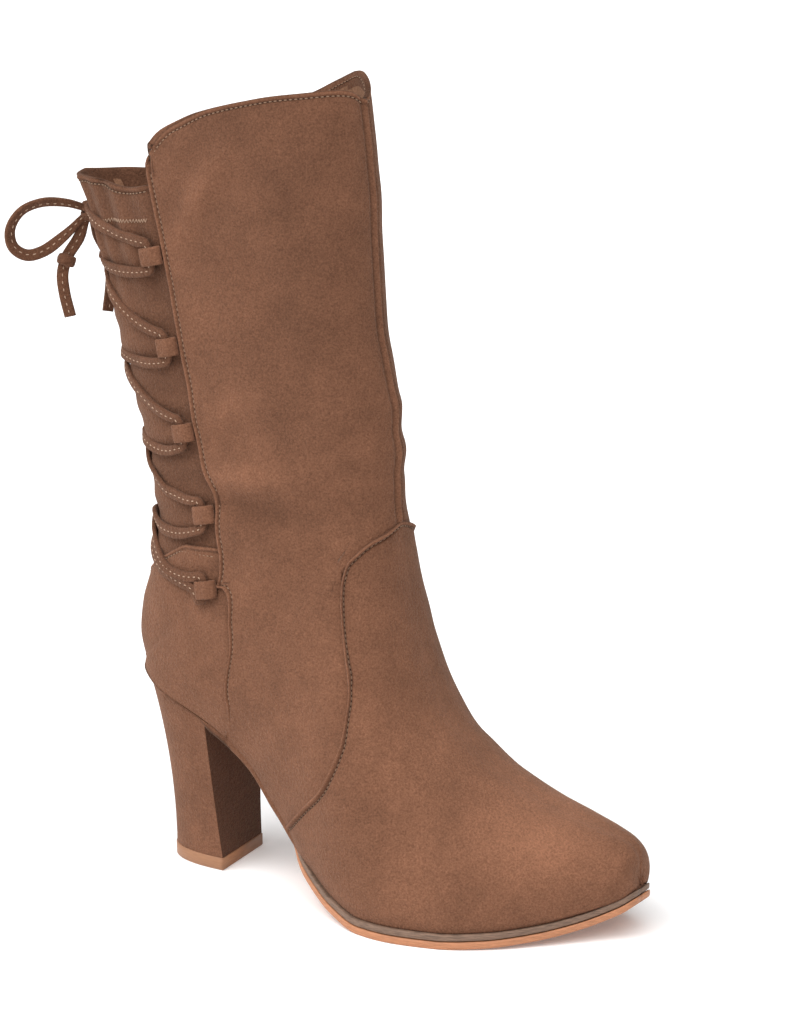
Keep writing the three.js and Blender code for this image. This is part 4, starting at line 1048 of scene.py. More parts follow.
def gusset_sheet():
    """The elastic gusset at the back, gathered at the top."""
    shares, side = both_sides(np.linspace(0, 1, GUSSET_GRID[1]))
    low = counter_top(shares) - HEM_GAP
    top = gusset_top(shares)
    body = np.linspace(0, 1, GUSSET_GRID[0])[:-1]
    rows = [low + (top - GUSSET_EVEN_END - low) * t for t in body]
    rows += [top - back for back, _ in GUSSET_TOP_ROWS]
    s = np.array(rows)
    f = behind_seam(s, shares, SEAM_LAP)
    drop = np.zeros_like(s)
    drop[len(body) :] = np.array([d for _, d in GUSSET_TOP_ROWS])[:, None]
    sides = np.broadcast_to(side, s.shape)
    p = form(s, f, sides)
    hem_d = (top - s) / rows_per_mm(s, f, sides)
    folds_here = gathers(s, f, sides, p)
    height = -PANEL_STEP - drop + (folds_here + edge_relief(hem_d, HEM_SWELL)) * (drop < 0.3)
    height = np.maximum(height, -WALL - 0.6)
    n = normal(s, f, sides)
    n[:, shares == 1, 1] = 0
    points = p + unit(n) * height[..., None]
    # Painted light on the gathers: lighter where raised, painted shade in their hollows, beside the
    # hem and beside the side seam
    tone = 0.1 * folds_here + humps(hem_d, EDGE_PAINTED_LIGHT) * 0.6 + humps(shares, GUSSET_SEAM_PAINTED_SHADE)
    return sewn_sheet("gusset", points, GUSSET_SUEDE, tone)


def counter_sheet():
    """The counter round the heel, below the gusset."""
    shares, side = both_sides(np.linspace(0, 1, COUNTER_GRID[1]))
    top = counter_top(shares)
    low = SEAM_FOOT_ROW + 0.02
    body = low + (HEEL_POINT_ROW - low) * (1 - (1 - np.linspace(0, 1, COUNTER_GRID[0])) ** 1.3)
    upper_rows = np.linspace(0, 1, COUNTER_HIGH_ROWS)[1:]
    rows = [np.full(len(shares), s) for s in body]
    rows += [HEEL_POINT_ROW + (top - HEM_GAP - HEEL_POINT_ROW) * t for t in upper_rows]
    rows += [top - back for back in COUNTER_TOP_ROWS]
    s = np.array(rows)
    f = behind_seam(s, shares, SEAM_LAP)
    sides = np.broadcast_to(side, s.shape)
    p = form(s, f, sides)
    top_d = (top - s) / rows_per_mm(s, f, sides)
    height = -COUNTER_SUNK + edge_relief(top_d, TOP_SWELL) - 0.5 * ease(0.08, 0.0, shares)
    height[-1] = -COUNTER_TUCK
    height += 0.12 * np.sin(p[..., 0] * 0.2 + p[..., 2] * 0.13)
    height += np.where(s < HEEL_POINT_ROW, 0.25 * ease(0.3, 0.05, 1 - f), 0)
    n = normal(s, f, sides)
    back = shares == 1
    n[:, back, 1] = np.where(s[:, back] >= HEEL_POINT_ROW, 0, n[:, back, 1])
    points = p + unit(n) * height[..., None]
    # Painted highlights and painted shade: beside the top, the strokes and beside the side seam
    tone = humps(top_d, EDGE_PAINTED_LIGHT) + strokes(p, sides, PAINTED_LIGHT, "tone")
    tone += humps(shares, COUNTER_SEAM_PAINTED_SHADE)
    return sewn_sheet("counter", points, UPPER_SUEDE, tone)


def heel_lip():
    """The lower edge of the counter, turned under over the heel."""
    turns = np.linspace(-1, 1, 241)
    s = HEEL_POINT_ROW - (HEEL_POINT_ROW - SEAM_FOOT_ROW) * np.abs(turns)
    side = np.where(turns < 0, -1, 1)
    p = form(np.minimum(s, HEEL_POINT_ROW - 1e-4), 1.0, side)
    n = normal(np.minimum(s, HEEL_POINT_ROW - STEP_S), 1 - 2 * STEP_F, side)
    first = (p + n * 0.1)[:, None]
    points = np.concatenate([first, turned_under(s, side)], axis=1)
    points = points.transpose(1, 0, 2)
    # Painted shade, deeper as the lip turns under the heel
    tone = np.repeat(np.array([-0.05, -0.2, -0.5, -0.7, -0.7, -0.7])[:, None], len(turns), 1)
    return grid_object("counter_lip", points, UPPER_SUEDE, tone)


def panel_lining():
    """Lining inside the panels and the foot."""
    shares, side = both_sides(np.linspace(0, 1, LINING_GRID[1]))
    top = np.where(side < 0, panel_top[-1](shares), panel_top[1](shares)) - PANEL_LINING_DROP
    s = LINING_TOE_ROW + (top - LINING_TOE_ROW) * np.linspace(0, 1, LINING_GRID[0])[:, None]
    f = np.minimum((seam_share(s) + LINING_LAP) * shares, 1)
    sides = np.broadcast_to(side, s.shape)
    p = form(s, f, sides)
    depth = WALL - 0.02 - np.minimum(relief(p, s, f, sides), 0)
    return grid_object("panel_lining", p - normal(s, f, sides) * depth[..., None], LINING_CLOTH)


def gusset_lining():
    """Lining inside the gusset and the heel."""
    shares, side = both_sides(np.linspace(0, 1, LINING_GRID[1]))
    top = gusset_top(shares) - HEM_GAP
    s = SEAM_FOOT_ROW + (top - SEAM_FOOT_ROW) * np.linspace(0, 1, LINING_GRID[0])[:, None]
    f = np.minimum(behind_seam(s, shares, LINING_LAP), 1)
    sides = np.broadcast_to(side, s.shape)
    p = form(s, f, sides)
    depth = WALL + 0.02 - np.minimum(gathers(s, f, sides, p), 0)
    return grid_object("gusset_lining", p - normal(s, f, sides) * depth[..., None], LINING_CLOTH)


# Stitches

# Rings of one stitch: share of its length, size and lift, as shares of its radius
STITCH_RINGS = [(0.0, 0.3, -0.6), (0.2, 0.9, 0.1), (0.5, 1, 0.35), (0.8, 0.9, 0.1), (1.0, 0.3, -0.6)]
STITCH_SIDES = 6
STITCH_PITCH = 2.1
STITCH_RADIUS = 0.24
STITCH_SPAN = (0, 0.62)  # the share of the pitch that a stitch covers
HOLE_SPAN = (0.62, 1)
HOLE_RADIUS = 0.22
HOLE_DEPTH = 0.1
# How high rows of stitches lie over the sheets' own form, in mm
SEAM_STITCH = -0.42
TOP_STITCH = -0.15
VAMP_STITCH = VAMP_STEP - 0.5
HEM_STITCH = 0.1
COUNTER_STITCH = -0.45
ZIGZAG_STITCH = 0.12
PANEL_INSIDE = -WALL - 0.05
GUSSET_INSIDE = -WALL - 0.1
INNER_SEAM_SHARE = 0.955  # where a seam shows down the inside of the back
ZIGZAG_ROW = 31.15
ZIGZAG_HALF = 0.8
ZIGZAG_LEG = 0.85
ZIGZAG_RADIUS = 0.13


def capsule(points, faces, a, b, radius, out):
    """Adds one stitch from a to b to a mesh, its ends sinking in."""
    side = unit(np.cross(unit(b - a), out))
    up = np.cross(side, unit(b - a))
    first = len(points)
    turns = 2 * math.pi * np.arange(STITCH_SIDES) / STITCH_SIDES
    for along, size, lift in STITCH_RINGS:
        center = a + (b - a) * along + up * radius * lift
        arms = np.outer(np.cos(turns), side) + np.outer(np.sin(turns), up)
        points.extend(center + arms * radius * size)
    rings = len(STITCH_RINGS)
    faces.extend([[first + k for k in face] for face in grid_faces(rings, STITCH_SIDES, closed=True)])
    faces.append([first + k for k in reversed(range(STITCH_SIDES))])
    faces.append([first + (rings - 1) * STITCH_SIDES + k for k in range(STITCH_SIDES)])


def line_length(line):
    """Length of a line of points."""
    return float(np.linalg.norm(np.diff(line, axis=0), axis=1).sum())


def even_points(line, count):
    """Points at even steps along a line."""
    steps = np.linalg.norm(np.diff(line, axis=0), axis=1)
    length = np.concatenate([[0], np.cumsum(steps)])
    at = np.linspace(0, length[-1], count)
    return np.stack([np.interp(at, length, column) for column in line.T], -1)


def stitch_rows(
    name, lines, material, pitch=STITCH_PITCH, radius=STITCH_RADIUS, span=STITCH_SPAN, sunk=0.0
):
    """Rows of stitches along lines, each a pair of points and outward directions."""
    points, faces = [], []
    for line, outs in lines:
        both = np.hstack([line, outs])
        both = even_points(both, max(int(line_length(both) / pitch), 2) + 1)
        for a, b in zip(both[:-1], both[1:]):
            out = unit(a[3:])
            begin, end = (a[:3] + (b[:3] - a[:3]) * share - out * sunk for share in span)
            capsule(points, faces, begin, end, radius, out)
    return mesh_object(name, points, faces, material)


def hole_rows(name, lines):
    """Dark capsules as painted shade in the needle holes between the stitches of rows."""
    return stitch_rows(name, lines, HOLE_SHADE, radius=HOLE_RADIUS, span=HOLE_SPAN, sunk=HOLE_DEPTH)


def surface_line(s, f, side, height):
    """A line on the base form at a height, with its outward directions."""
    n = normal(s, f, side)
    p = form(s, f, side)
    return p + n * (height + relief(p, s, f, side))[..., None], n


def raised(s, f, side, height, way=1):
    """A line at a height over the base form. way is -1 where it is seen from inside."""
    n = normal(s, f, side)
    return form(s, f, side) + n * height, n * way


def gusset_line(s, f, side, height):
    """A line on the dressed gusset, with its outward directions."""
    n = normal(s, f, side)
    p = form(s, f, side)
    lift = height - PANEL_STEP + gathers(s, f, side * np.ones_like(s), p)
    return p + n * lift[..., None], n


def panel_row(side, w):
    """The row of stitches below a panel's top, at shares w of its width."""
    top = panel_top[side](w)
    f = w * seam_share(top)
    return top - STITCH_INSET * rows_per_mm(top, f, side), f, side


def back_stitch_row(line, side, w):
    """The row of stitches below a line over the back, at shares w from the side seam."""
    top = line(w)
    f = behind_seam(top, w)
    return top - STITCH_INSET * rows_per_mm(top, f, side), f, side


def upper_lines():
    """The rows of stitches on the panels and the vamp."""
    lines = []
    for side in (-1, 1):
        s = np.linspace(SEAM_FOOT_ROW + 0.45, 32.2, 260)
        f = seam_share(s)
        f = f - STITCH_INSET * share_per_mm(s, np.minimum(f, 1 - STEP_F), side)
        lines.append(surface_line(s, f, side, SEAM_STITCH))
        lines.append(surface_line(*panel_row(side, np.linspace(0.03, 0.975, 120)), TOP_STITCH))
        f = np.linspace(0.0, 0.985, 160)
        s = vamp_edge(f) - STITCH_INSET * vamp_rows_per_mm(f, side)
        lines.append(surface_line(s, f, side, VAMP_STITCH))
    return lines


def lining_lines():
    """The rows of stitches that show inside the collar, and down the back of the gusset."""
    lines = []
    for side in (-1, 1):
        lines.append(raised(*panel_row(side, np.linspace(0.03, 0.96, 120)), PANEL_INSIDE, way=-1))
        row = back_stitch_row(gusset_top, side, np.linspace(0.03, 1, 60))
        lines.append(raised(*row, GUSSET_INSIDE, way=-1))
        s = np.linspace(28.5, 32.6, 50)
        lines.append(raised(s, np.full(50, INNER_SEAM_SHARE), side, GUSSET_INSIDE, way=-1))
    return lines


def gusset_lines():
    """The rows of stitches along the tops of the gusset and the counter."""
    lines = []
    w = np.linspace(0.03, 1, 80)
    for side in (-1, 1):
        lines.append(gusset_line(*back_stitch_row(gusset_top, side, w), HEM_STITCH))
        lines.append(raised(*back_stitch_row(counter_top, side, w), COUNTER_STITCH))
    return lines


def zigzag():
    """The zigzag row that holds the gusset's elastic."""
    points, faces = [], []
    for side in (-1, 1):
        f = behind_seam(ZIGZAG_ROW, np.linspace(0.06, 1, 400))
        s = ZIGZAG_ROW + 0.34 * ease(0.58, 0.78, f)
        both = np.hstack(gusset_line(s, f, side, ZIGZAG_STITCH))
        both = even_points(both, int(line_length(both) / ZIGZAG_LEG) + 1)
        sway = ZIGZAG_HALF * (-1.0) ** np.arange(len(both))
        tips = both[:, :3] + np.outer(sway, (0, 0, 1))
        for a, b, out in zip(tips[:-1], tips[1:], both[:-1, 3:]):
            capsule(points, faces, a, b, ZIGZAG_RADIUS, unit(out))
    return mesh_object("gusset_zigzag", points, faces, PALE_THREAD)


# Sole and heel
BED_ROWS = np.linspace(HEEL_POINT_ROW, 0, 1200)
BED_X = edge_point(BED_ROWS)[:, 0]
BED_Z = edge_point(BED_ROWS)[:, 2]

# Rows over which the sole narrows at the waist, and what it loses or is lifted there
WAIST_ROWS = (10.8, 13.2)
SHANK_ROWS = (11.3, 12.8)
WAIST_LOSS = WELT_REACH + 3
SHANK_LIFT = 2.0
SHELF_LIFT = 0.7
TOE_ROWS = 5  # the rows near the toe's tip, where the sole's rings lie closer
HEEL_SQUARENESS = 2.6
HEEL_TURNS = np.linspace(-1, 1, 123)
HEEL_SET_IN = 1.2  # the heel's top lies this far inside the upper's lower edge
HEEL_BEVEL = 1.4
HEEL_RINGS = 40


def bed(s, side, outward, over):
    """An outline point at a height over the line where upper and sole meet."""
    p = outline(s, side, outward)
    p[..., 2] = np.interp(p[..., 0], BED_X, BED_Z) + over
    return p


def sole_reach(s):
    """How far the sole reaches past the upper's lower edge."""
    return WELT_REACH + humps(s, SOLE_TOE_SHAPE) - WAIST_LOSS * ease(*WAIST_ROWS, s)


def sole_rows(end, near_toe, rest):
    """Rows from the toe's tip to an end, closer together at the tip."""
    toe = np.linspace(0, 1, near_toe) ** 1.6 * TOE_ROWS
    return np.concatenate([toe, np.linspace(TOE_ROWS, end, rest)[1:]])


def rounded_side(reach, low, high, radius):
    """Points (outward, height) up a sole's edge with rounded corners."""
    turns = np.linspace(0, math.pi / 2, 4)
    out = reach - radius
    foot = [(out + radius * math.sin(t), low + radius * (1 - math.cos(t))) for t in turns]
    head = [(out + radius * math.cos(t), high - radius * (1 - math.sin(t))) for t in turns]
    return foot + head


def outsole_piece():
    """The outsole, thinner at the waist."""
    rings = []
    for row in sole_rows(SEAT_ROW - 0.05, 70, 110):
        waist = float(ease(*SHANK_ROWS, row))
        bottom = -SOLE_EDGE + SHANK_LIFT * waist
        shelf = -SOLE_EDGE + OUTSOLE_THICK + SHELF_LIFT * waist
        half = rounded_side(float(sole_reach(row)), bottom, shelf, 0.8)
        at = [(-1, point) for point in reversed(half)]
        at = [(1, point) for point in half] + at
        rings.append([bed(np.array([row]), side, *point)[0] for side, point in at])
    return ring_body("outsole_piece", rings, TAN_RUBBER, ends="filled")


def welt_piece():
    """The welt round the forefoot, from one end over the toe to the other."""
    low, high = -GAP - WELT_THICK + 0.05, -GAP + 0.1
    half = sole_rows(WELT_END_ROW, 60, 90)
    rings = []
    for side, rows in ((-1, half[::-1]), (1, half[1:])):
        for row in rows:
            reach = float(sole_reach(row)) - 0.25
            points = rounded_side(reach, low, high, 0.6)
            points += [(reach - WELT_WIDTH, high), (reach - WELT_WIDTH, low)]
            rings.append([bed(np.array([row]), side, *point)[0] for point in points])
    return ring_body("welt_piece", rings, WELT_FINISH)


def heel_foot(turn, grow, z):
    """The heel's outline at the floor. turn runs from -1 to 1 round the back."""
    e = 2 / HEEL_SQUARENESS
    angle = turn * math.pi / 2
    y = (HEEL_TOP_WIDTH / 2 + grow) * signed_power(np.sin(angle), e)
    back = (HEEL_TOP_LENGTH + 2 * grow) * np.abs(np.cos(angle)) ** e
    skew = -BREAST_SKEW * y / (HEEL_TOP_WIDTH / 2)
    x = HEEL_TOP_LENGTH / 2 + grow + skew - back
    return np.stack([x, y, np.full_like(y, z)], -1)


def bevelled(obj, width):
    """Rounds a piece's sharp edges by a width in mm."""
    modifier = obj.modifiers.new("rounded_edges", "BEVEL")
    modifier.width = width * MM
    modifier.segments = 4
    modifier.limit_method = "ANGLE"
    modifier.angle_limit = math.radians(40)
    return obj


def heel_piece():
    """The covered heel, from the seat down to its top piece, with painted shade on its breast."""
    foot = HEEL_TOP_THICK + GAP / 2
    s = HEEL_POINT_ROW - (HEEL_POINT_ROW - SEAT_ROW) * np.abs(HEEL_TURNS)
    side = np.where(HEEL_TURNS < 0, -1, 1)
    top = bed(s, side, -GAP - HEEL_SET_IN, -GAP)
    low = heel_foot(HEEL_TURNS, 0, foot)
    rings = []
    for t in np.linspace(0, 1, HEEL_RINGS):
        drawn = 1 - (1 - t) ** 2
        p = top + (low - top) * drawn
        forward = drawn + (t * t - drawn) * HEEL_TURNS**4
        p[:, 0] = top[:, 0] + (low[:, 0] - top[:, 0]) * forward
        p[:, 2] = top[:, 2] + (foot - top[:, 2]) * t
        rings.append(p)
    obj = ring_body("heel_cover", rings, HEEL_SUEDE)
    # Faces that look forward get the darker copy: painted shade on the breast
    obj.data.materials.append(BREAST_PAINTED_SHADE_SUEDE)
    for face in obj.data.polygons:
        face.material_index = int(face.normal.x > 0.8)
    return bevelled(obj, HEEL_BEVEL)


def heel_top_piece():
    """The heel's top piece on the floor, with softened edges."""
    levels = [(GAP - 0.4, 0.0), (GAP, 0.5), (GAP, HEEL_TOP_THICK - 0.2), (GAP - 0.3, HEEL_TOP_THICK)]
    rings = [heel_foot(HEEL_TURNS, grow, z) for grow, z in levels]
    return ring_body("heel_top_lift", rings, TOP_RUBBER)


# Loops and laces
SIDE_NAMES = {-1: "outer", 1: "inner"}
LOOP_LEAN = 0.2
SEAM_TO_LOOP = 0.8
LOOP_INSIDE = LACE_WIDTH + 2 * LACE_PLAY
LOOP_REACH = LOOP_INSIDE + 2 * LOOP_WALL
LOOP_OPEN = LACE_THICK + 2 * GAP
LOOP_STAND = LOOP_OPEN + 2 * LOOP_WALL
LOOP_CORNER = 0.5
LOOP_TAPER_FROM = 0.35

# A loop's open edge, from its inner face: share across its wall, swell, and how far it is set in
LOOP_EDGE = [(0, 0, 0.3), (0.15, 0, 0.05), (0.5, 0, 0), (0.85, 0, 0.05), (1, 0, 0.35), (1, 0.08, 1.2)]
LACE_LOW = 2 * GAP + LACE_THICK / 2
LACE_IN_LOOP = GAP + LOOP_STAND / 2
SPREAD = 20  # scales the distance from the back, to be like rows
NORMAL_WEIGHT = 4  # mm that a full turn of direction counts for along a lace
LACE_STEPS = 90
BAR_STEPS = 130
TWIST = 0.42  # how far a strand rolls to and fro, in radians
TWIST_TURNS = 1.5
LACE_STITCH_PITCH = 3.1
LACE_STITCH_SPAN = (0, 0.5)
CROSSING_HEIGHT = 0.76
KNOT_ROW = 31.75
KNOT_LIFT = 3.2
KNOT_SUNK = 1
KNOT_OUT = unit(normal(KNOT_ROW, 1.0, -1) * (1, 0, 1))
KNOT_STAND = GAP + LACE_THICK + GAP + KNOT_SIZE / 2 - PANEL_STEP - KNOT_SUNK
KNOT = form(KNOT_ROW, 1.0, -1) + KNOT_OUT * KNOT_STAND + np.array([0, 0, KNOT_LIFT])
KNOT_LIE = (-0.6, -0.8, 0)
END_KNOT_LIE = (0.2, 0.3, 1)

# A lace's section, as shares of its half width and half thickness
SECTION = [
    (-1, -0.25),
    (-0.93, -0.8),
    (-0.75, -1),
    (0.75, -1),
    (0.93, -0.8),
    (1, -0.25),
    (1, 0.25),
    (0.93, 0.8),
    (0.75, 1),
    (0.2, 1.06),
    (-0.2, 1.06),
    (-0.75, 1),
    (-0.93, 0.8),
    (-1, 0.25),
]


def place_near(target, s, f, side):
    """The place on the form nearest to a point, from a first guess."""
    for _ in range(6):
        at = form(s, f, side)
        miss = target - at
        u = (form(s + STEP_S, f, side) - at) / STEP_S
        v = (form(s, f + STEP_F, side) - at) / STEP_F
        uu, uv, vv, mu, mv = u @ u, u @ v, v @ v, miss @ u, miss @ v
        size = uu * vv - uv * uv
        s += (mu * vv - mv * uv) / size
        f += (mv * uu - mu * uv) / size
    return s, f


def loop_frame(row, side, out):
    """A loop's middle on the gusset, and its directions up, back and outward."""
    seam = float(girth["seam"](row)) + 0.002
    lean = np.array([-LOOP_LEAN, 0, 1.0])
    behind = unit(np.cross(normal(row, seam, side), lean))
    behind = -behind if behind[0] > 0 else behind
    target = form(row, seam, side) + behind * (SEAM_TO_LOOP + LOOP_REACH / 2)
    s, f = place_near(target, row, seam, side)
    n = normal(s, f, side)
    point = form(s, f, side) + n * (out - PANEL_STEP)
    up = unit(lean - (lean @ n) * n)
    back = behind - (behind @ n) * n
    back = unit(back - (back @ up) * up)
    return {"point": point, "normal": n, "up": up, "back": back, "s": s, "f": f, "side": side}


def loop_piece(row, side, name):
    """A suede loop, a folded strip open from top to bottom, its ends sewn in the seam."""
    frame_at = loop_frame(row, side, LACE_IN_LOOP)
    origin, up, back, out = (frame_at[k] for k in ("point", "up", "back", "normal"))
    turns = np.linspace(0, 2 * math.pi, 32, endpoint=False)
    wide, stand = LOOP_REACH / 2, LOOP_STAND / 2
    c = signed_power(np.cos(turns), LOOP_CORNER)
    s = signed_power(np.sin(turns), LOOP_CORNER)
    to_seam = np.clip(-np.cos(turns) - LOOP_TAPER_FROM, 0, 1) / (1 - LOOP_TAPER_FROM)
    x = wide * c - to_seam * 1.3
    y = stand * s * (1 - 0.35 * to_seam) - 0.5 * to_seam
    inner_x = (wide - LOOP_WALL) * c
    inner_y = (stand - LOOP_WALL) * s
    half = LOOP_HEIGHT / 2 - 0.4
    profile = [(share, swell, inset - half) for share, swell, inset in LOOP_EDGE]
    profile += [(1, 0.14, 0)]
    profile += [(share, swell, half - inset) for share, swell, inset in reversed(LOOP_EDGE)]
    rings = []
    for share, swell, z in profile:
        px = inner_x + (x - inner_x) * share
        py = (inner_y + (y - inner_y) * share) * (1 + swell)
        rings.append(origin + px[:, None] * back + py[:, None] * out + z * up)
    rings.append(rings[0])
    return ring_body(name, rings, UPPER_SUEDE, ends="open")


def catmull(points, count):
    """A smooth line through points, with even steps."""
    p = np.asarray(points, float)
    p = np.vstack([2 * p[0] - p[1], p, 2 * p[-1] - p[-2]])
    gaps = np.linalg.norm(np.diff(p, axis=0), axis=1) ** 0.5
    knots = np.concatenate([[0], np.cumsum(np.maximum(gaps, 1e-9))])
    line = []
    for i in range(1, len(p) - 2):
        t0, t1, t2, t3 = knots[i - 1 : i + 3]
        for t in np.linspace(t1, t2, 24, endpoint=i == len(p) - 3):
            a1 = ((t1 - t) * p[i - 1] + (t - t0) * p[i]) / (t1 - t0)
            a2 = ((t2 - t) * p[i] + (t - t1) * p[i + 1]) / (t2 - t1)
            a3 = ((t3 - t) * p[i + 1] + (t - t2) * p[i + 2]) / (t3 - t2)
            b1 = ((t2 - t) * a1 + (t - t0) * a2) / (t2 - t0)
            b2 = ((t3 - t) * a2 + (t - t1) * a3) / (t3 - t1)
            line.append(((t2 - t) * b1 + (t - t1) * b2) / (t2 - t1))
    return even_points(np.array(line), count)


def place_from(at, behind, above):
    """The place behind and above a loop, as a row and a distance from the back."""
    target = at["point"] + at["back"] * behind + at["up"] * above
    s, f = place_near(target, at["s"], at["f"], at["side"])
    return s, at["side"] * (1 - f)


def lace_in_loop(row, side, way):
    """The straight part of a lace in its loop, and the place where it goes on."""
    at = loop_frame(row, side, LACE_IN_LOOP)
    reach = [0.2, LOOP_HEIGHT / 2 - 1.2]
    points = [at["point"] + at["up"] * way * d for d in reach]
    return points, [at["normal"]] * 2, place_from(at, 1.4, way * (LOOP_HEIGHT / 2 + 1.6))


def over_gusset(places, count, ends_in_loop):
    """Points and outward directions of a lace over the gusset."""
    line = catmull([(s, v * SPREAD) for s, v in places], count)
    t = np.linspace(0, 1, count)
    from_loop = np.minimum(t, 1 - t) if ends_in_loop else t
    out = LACE_IN_LOOP + (LACE_LOW - LACE_IN_LOOP) * ease(0, 0.16, from_loop)
    s, v = line[:, 0], line[:, 1] / SPREAD
    side = np.where(v < 0, -1, 1)
    f = 1 - np.abs(v)
    n = normal(s, f, side)
    return form(s, f, side) + n * (out - PANEL_STEP)[:, None], n


def back_row(height):
    """The row at which the back has a height."""
    rows = np.linspace(HEEL_POINT_ROW, LAST_ROW, 600)
    return float(np.interp(height, edge_point(rows)[:, 2], rows))


def lace_frames(points, normals):
    """Even points along a lace with its width and outward directions."""
    both = np.hstack([np.array(points), np.array(normals) * NORMAL_WEIGHT])
    both = catmull(both, max(len(points), 60))
    p, n = both[:, :3], unit(both[:, 3:])
    run = unit(np.gradient(p, axis=0))
    across = unit(np.cross(run, n))
    return p, across, np.cross(across, run)


def ribbon(name, p, across, out, squeeze):
    """A flat lace with soft edges along frames. squeeze narrows it along its length."""
    a, b = np.array(SECTION).T
    wide = (squeeze * LACE_WIDTH / 2)[:, None, None] * a[:, None] * across[:, None]
    thick = LACE_THICK / 2 * b[:, None] * out[:, None]
    return ring_body(name, p[:, None] + wide + thick, LACE_SUEDE)


def twisted(frames, angle, turns, phase):
    """Frames of a lace rolled to and fro about its own line."""
    p, across, out = frames
    t = np.linspace(0, 1, len(p))
    roll = angle * np.sin(2 * math.pi * turns * t + phase) * np.sin(math.pi * t)
    c, s = np.cos(roll)[:, None], np.sin(roll)[:, None]
    return p + out * np.abs(s) * LACE_WIDTH * 0.2, across * c + out * s, out * c - across * s


def centre_stitches(name, strands, both_faces=False):
    """Pale stitches down the middle of laces."""
    lines = []
    for p, _, out in strands:
        lines.append((p + out * LACE_THICK * 0.5, out))
        if both_faces:
            lines.append((p - out * LACE_THICK * 0.5, -out))
    return stitch_rows(name, lines, PALE_THREAD, pitch=LACE_STITCH_PITCH, span=LACE_STITCH_SPAN)


all_strands = []


def strand(name, start, places, finish, count=LACE_STEPS, phase=0.0):
    """One strand from a loop over the gusset, and into another loop if there is one."""
    middle, outs = over_gusset(places, count, finish is not None)
    points, normals = list(start[0]) + list(middle), list(start[1]) + list(outs)
    if finish:
        points += list(finish[0])[::-1]
        normals += list(finish[1])[::-1]
    frames = twisted(lace_frames(points, normals), TWIST, TWIST_TURNS, phase)
    all_strands.append(frames)
    t = np.linspace(0, 1, len(frames[0]))
    ends = np.minimum(t, 1 - t) if finish else t
    squeeze = 0.78 + 0.2 * ease(0.02, 0.22, ends) + 0.05 * np.sin(14 * t + phase)
    return ribbon(name, *frames, squeeze)


def crossing(index):
    """Two strands that cross between a pair of loops and the pair below."""
    upper_row, lower_row = LOOP_ROWS[index], LOOP_ROWS[index + 1]
    high = loop_frame(upper_row, -1, 0)["point"][2]
    low = loop_frame(lower_row, -1, 0)["point"][2]
    back = (back_row(low + (high - low) * CROSSING_HEIGHT), 0)
    for side, word in SIDE_NAMES.items():
        start = lace_in_loop(upper_row, side, -1)
        finish = lace_in_loop(lower_row, -side, 1)
        places = [start[2], back, finish[2]]
        name = f"lace_strand_{index + 1}_{word}"
        obj = strand(name, start, places, finish, phase=1.7 * index + side)
        finish_piece(obj, "lace_suede", *([f"lace_crossing_{index + 1}"] if side < 0 else []))


def bottom_bar():
    """The lace's middle, from one lowest loop over the gusset to the other."""
    row = LOOP_ROWS[-1]
    half = LOOP_HEIGHT / 2
    turn = [(1.2, 0.8 - half), (LOOP_REACH / 2 + 1.0, 2.2 - half), (LOOP_REACH / 2 + 4.4, 2.0)]
    ends = []
    for side in (-1, 1):
        at = loop_frame(row, side, LACE_IN_LOOP)
        points = [at["point"] - at["up"] * d for d in (0.2, half - 2.4)]
        ends.append((points, [at["normal"]] * 2, [place_from(at, *step) for step in turn]))
    high = (back_row(loop_frame(row, -1, 0)["point"][2] + 3.2 * LACE_WIDTH), 0)
    places = ends[0][2] + [high] + ends[1][2][::-1]
    start, finish = ends[0][:2], ends[1][:2]
    obj = strand("lace_bottom_strand", start, places, finish, count=BAR_STEPS)
    finish_piece(obj, "lace_suede", "lace_bottom_bar")


def top_strands():
    """The two strands from the highest loops up to the knot."""
    for side, word in SIDE_NAMES.items():
        start = lace_in_loop(LOOP_ROWS[0], side, 1)
        places = [start[2], (KNOT_ROW + 0.05, side * 0.11), (KNOT_ROW + 0.3, -side * 0.02)]
        obj = strand(f"lace_top_{word}", start, places, None, phase=side)
        finish_piece(obj, "lace_suede", *(["lace_top_strands"] if side < 0 else []))


# The bow

# Points of a bow loop from the knot, each a distance out along the bow and a height.
BOW_LOOP = [
    (2, 1.6),
    (10, 4.0),
    (20.6, 4.6),
    (29.5, 1.4),
    (34.4, -5.6),
    (33.4, -13),
    (27.8, -16.8),
    (20.6, -15.6),
    (11, -9.4),
    (2, -1.6),
]
LACE_END = [(1.6, -3), (5.2, -11), (10.6, -19), (12.6, -26), (12.0, -34), (9.8, -44)]
END_KNOT_AT = (10.9, -20)
END_WAYS = {"outer": (-0.6, -0.8, 0), "inner": (0.05, 1, 0)}
BOW_WAYS = {"outer": (-0.6, -0.8, 0), "inner": (-0.35, 0.94, 0)}
# How far a bow loop and an end lean from edge-on, and how a bow loop rolls to and fro
BOW_LEAN = 1.7
END_LEAN = -2.6
BOW_TWIST = 0.35
BOW_STEPS = 110
END_STEPS = 70


def bow_point(place, way):
    """A point of the bow, out from the knot along its way and up."""
    return KNOT + np.array(way) * place[0] + np.array([0, 0, place[1]])


def free_lace(places, way, count, lean):
    """A flat lace along free points, half turned, with its centre line."""
    p = catmull([bow_point(place, way) for place in places], count)
    run = unit(np.gradient(p, axis=0))
    side = unit(np.cross(way, (0, 0, 1)))
    across = unit(side + lean * np.cross(run, side))
    return p, across, np.cross(across, run)


